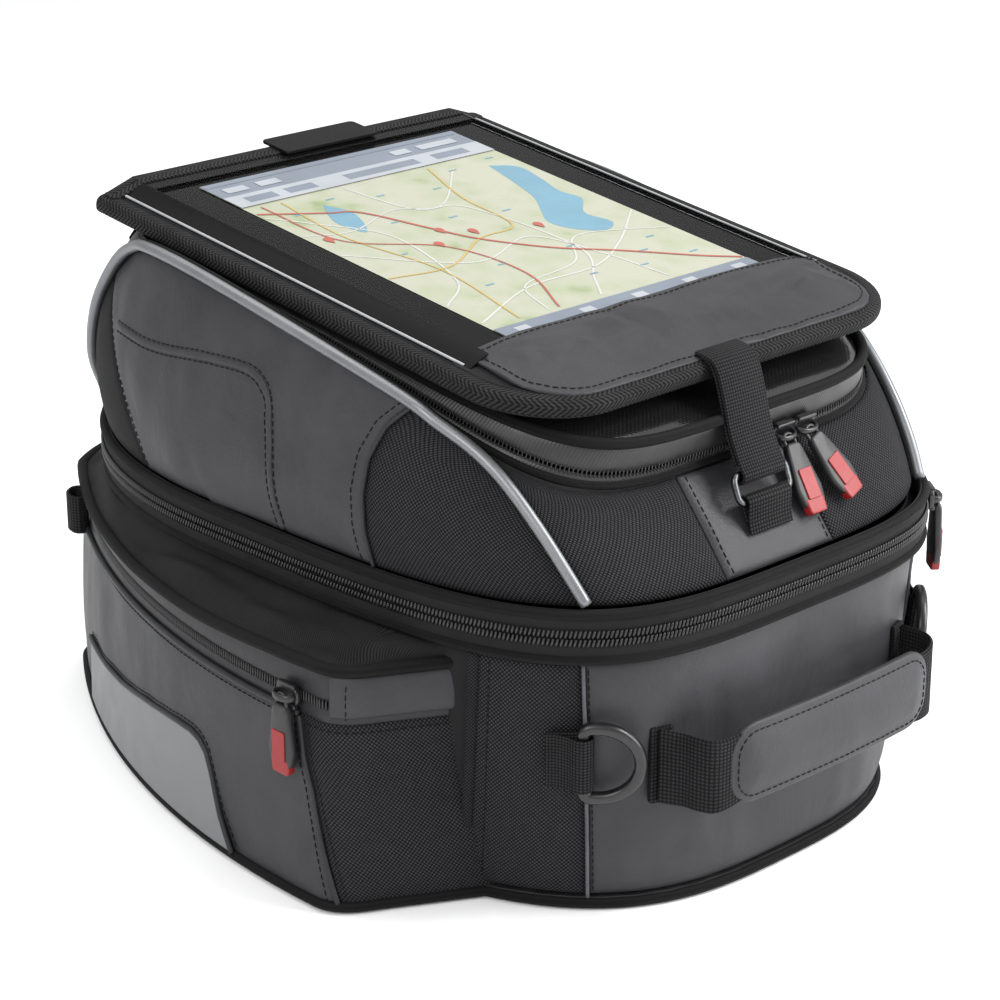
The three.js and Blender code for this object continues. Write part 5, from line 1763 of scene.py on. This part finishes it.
def slider(name, origin, along, up, off, body, stands_for):
    """Moulded zip slider: a waisted body, two guide rails and an arched bridge."""
    put = plane_at(origin, along, up, off)
    points, faces = pad_shape(6.4, 4.9, 2.6, 2.6, crown=0.3, edge=0.8)
    end_share = points[:, 0] / 6
    waisted = points[:, 1] * (1 - 0.22 * np.clip(end_share, -1, 1) ** 2 - 0.1 * end_share)
    body_part = (put(points[:, 0], waisted, points[:, 2] + 2.6), faces, points[:, :2])
    rails = []
    for side in (-1, 1):
        points, faces = pad_shape(5.2, 0.9, 0.6, 2.4, edge=0.5)
        rails.append((put(points[:, 0], points[:, 1] + side * 4.2, points[:, 2] + 3.4), faces, points[:, :2]))
    arch = [(-5.0, 3.4), (-4.8, 5.6), (-3.2, 7.3), (0, 7.9), (3.2, 7.3), (4.8, 5.6), (5.0, 3.4)]
    line = smooth_path([(a, 0, c) for a, c in arch], 26)
    line = put(*line.T)
    bridge = sweep(line, np.cross(np.gradient(line, axis=0), up), superellipse(1.7, 3.0, 2.6, 10))
    points, faces, uv = merge([body_part, *rails, bridge])
    weld(new_piece(name, points, faces, PLASTIC, body, uv, replaces=[stands_for]))


def pull(name, pivot, across, up, off, body, stands_for):
    """Faceted pull hanging from a wire loop, with a red end."""
    put = plane_at(pivot, across, up, off)
    loop = round_box(2.9, 3.6, 2.6, 0.0)
    wire_line = put(loop[:, 0], loop[:, 1] - 2.6, 0 * loop[:, 0])
    wire = sweep(wire_line, off, circle(0.85, 8), closed=True)
    blade_half = PULL_LENGTH / 2 - 2.0
    points, faces = pad_shape(7.2, blade_half, 2.4, 3.4, crown=0.6, edge=1.2, belly=0.3, reach=4)
    share = (blade_half - points[:, 1]) / (2 * blade_half)
    width = np.interp(share, [0, 0.12, 0.72, 1.0], [0.5, 0.62, 1.0, 0.8])
    blade = (put(points[:, 0] * width, points[:, 1] - PULL_START - blade_half, points[:, 2]), faces,
             points[:, :2])
    points, faces, uv = merge([wire, blade])
    weld(new_piece(name, points, faces, PLASTIC_SATIN, body, uv, replaces=[stands_for]))
    end_at = -(PULL_START + PULL_LENGTH - 4.4)
    points, faces = pad_shape(5.4, 3.4, 1.4, 4.0, crown=0.3, edge=0.8)
    end = (put(points[:, 0] * np.interp(points[:, 1], [-4.2, 4.2], [0.86, 1.0]), points[:, 1] + end_at,
               points[:, 2]), faces, points[:, :2])
    points, faces = pad_shape(3.7, 6.4, 0.8, 0.9, edge=0.3)
    label = (put(points[:, 0], points[:, 1] + end_at + 9.0, points[:, 2] + 2.2), faces, points[:, :2])
    points, faces, uv = merge([end, label])
    weld(new_piece(name + "_end", points, faces, RED, body, uv))


def tilted(axis_a, axis_b, degrees):
    """Two directions turned in their own plane."""
    a = math.radians(degrees)
    a_vec, b_vec = np.array(axis_a, float), np.array(axis_b, float)
    return a_vec * math.cos(a) + b_vec * math.sin(a), b_vec * math.cos(a) - a_vec * math.sin(a)


LID_UP, LID_OFF = leaning(-17.789)
HANG, HANG_OFF = leaning(31.543)
WAIST_ALONG, WAIST_OFF = np.array([0.6026, 0.798, 0]), np.array([0.798, -0.6026, 0])
ZIPS = {                                         # slider's directions along, up and off, then its pull's
    "left_pocket": ((0, -1, 0), UP, (-1, 0, 0), (0, -1, 0), UP, (-1, 0, 0)),
    "right_pocket": ((0, 1, 0), UP, (1, 0, 0), (0, 1, 0), UP, (1, 0, 0)),
    "waist": (WAIST_ALONG, UP, WAIST_OFF, WAIST_ALONG, UP, WAIST_OFF),
    "lid_left": ((1, 0, 0), LID_UP, LID_OFF, (1, 0, 0), HANG, HANG_OFF),
    "lid_right": ((1, 0, 0), LID_UP, LID_OFF, *tilted((1, 0, 0), HANG, 20), HANG_OFF),
}
for zip_name, (along, up, off, across, hang_up, hang_off) in ZIPS.items():
    pivot = np.array(joint(f"{zip_name}_pull_lift")["pos_m"]) / MM
    slider(f"{zip_name}_slider_body", pivot - np.array(off, float) * PIVOT_OFF, along, up, off,
           f"{zip_name}_slider", f"{zip_name}_slider")
    pull(f"{zip_name}_pull_blade", pivot, across, hang_up, hang_off, f"{zip_name}_pull", f"{zip_name}_pull")


# ---------- stitching, and finishes on the CAD pieces that stay ----------

stitch_shape, stitch_faces = capsule(STITCH_LENGTH, STITCH_RADIUS, 5)
for body, frames in STITCHES.items():
    points, faces = placed_many(stitch_shape, stitch_faces, frames)
    new_piece(f"stitching_{body}", points, faces, THREAD, body)

for cad_node, material in (("base_tray", PLASTIC_SATIN), ("base_board", LINING), ("lock_housing", PLASTIC),
                           ("lock_latch", RED)):
    kept = frame["nodes"][cad_node]
    kept.data.materials.clear()
    kept.data.materials.append(material)


# ---------- floor, light and camera ----------

floor_mesh = bpy.data.meshes.new("floor")
FLOOR_SPAN = 6.0
floor_corners = [(x * FLOOR_SPAN, y * FLOOR_SPAN, 0) for x, y in ((-1, -1), (1, -1), (1, 1), (-1, 1))]
floor_mesh.from_pydata(floor_corners, [], [(0, 1, 2, 3)])
floor = bpy.data.objects.new("floor", floor_mesh)
bpy.context.scene.collection.objects.link(floor)
pale, pale_shader = new_material("pale_floor")
pale_shader.inputs["Base Color"].default_value = (0.93, 0.93, 0.935, 1)
pale_shader.inputs["Roughness"].default_value = 0.85
floor_mesh.materials.append(pale)
floor.location.z = -0.0005

world = bpy.data.worlds.new("studio")
world.use_nodes = True
world.node_tree.nodes["Background"].inputs["Color"].default_value = (1, 1, 1, 1)
world.node_tree.nodes["Background"].inputs["Strength"].default_value = 0.75
bpy.context.scene.world = world


def area_light(name, location, target, size, power):
    data = bpy.data.lights.new(name, "AREA")
    data.shape = "RECTANGLE"
    data.size, data.size_y = size
    data.energy = power
    light = bpy.data.objects.new(name, data)
    light.location = location
    light.rotation_euler = (Vector(target) - Vector(location)).to_track_quat("-Z", "Y").to_euler()
    bpy.context.scene.collection.objects.link(light)


MIDDLE = (0, 0, 0.12)
area_light("overhead", (0.15, 0.35, 1.5), MIDDLE, (1.6, 1.2), 15)
area_light("key", (-1.3, -0.4, 1.0), MIDDLE, (1.0, 0.8), 13)
area_light("rear_fill", (0.9, -1.3, 0.7), MIDDLE, (0.9, 0.9), 25)
area_light("streak", (0.75, -0.85, 1.15), (0, -0.1, 0.2), (0.6, 0.08), 14)

CAMERA_PLACE = Vector((-0.813, -0.870, 0.564))
CAMERA_BACK = Vector((-0.6425, -0.6773, 0.3585))
camera_data = bpy.data.cameras.new("camera")
camera_data.sensor_width = 36
camera_data.lens = 103.8
camera = bpy.data.objects.new("camera", camera_data)
camera.location = CAMERA_PLACE
camera.rotation_mode = "QUATERNION"
camera.rotation_quaternion = CAMERA_BACK.to_track_quat("Z", "Y")
bpy.context.scene.collection.objects.link(camera)
bpy.context.scene.camera = camera
bpy.context.scene.view_settings.view_transform = "Standard"
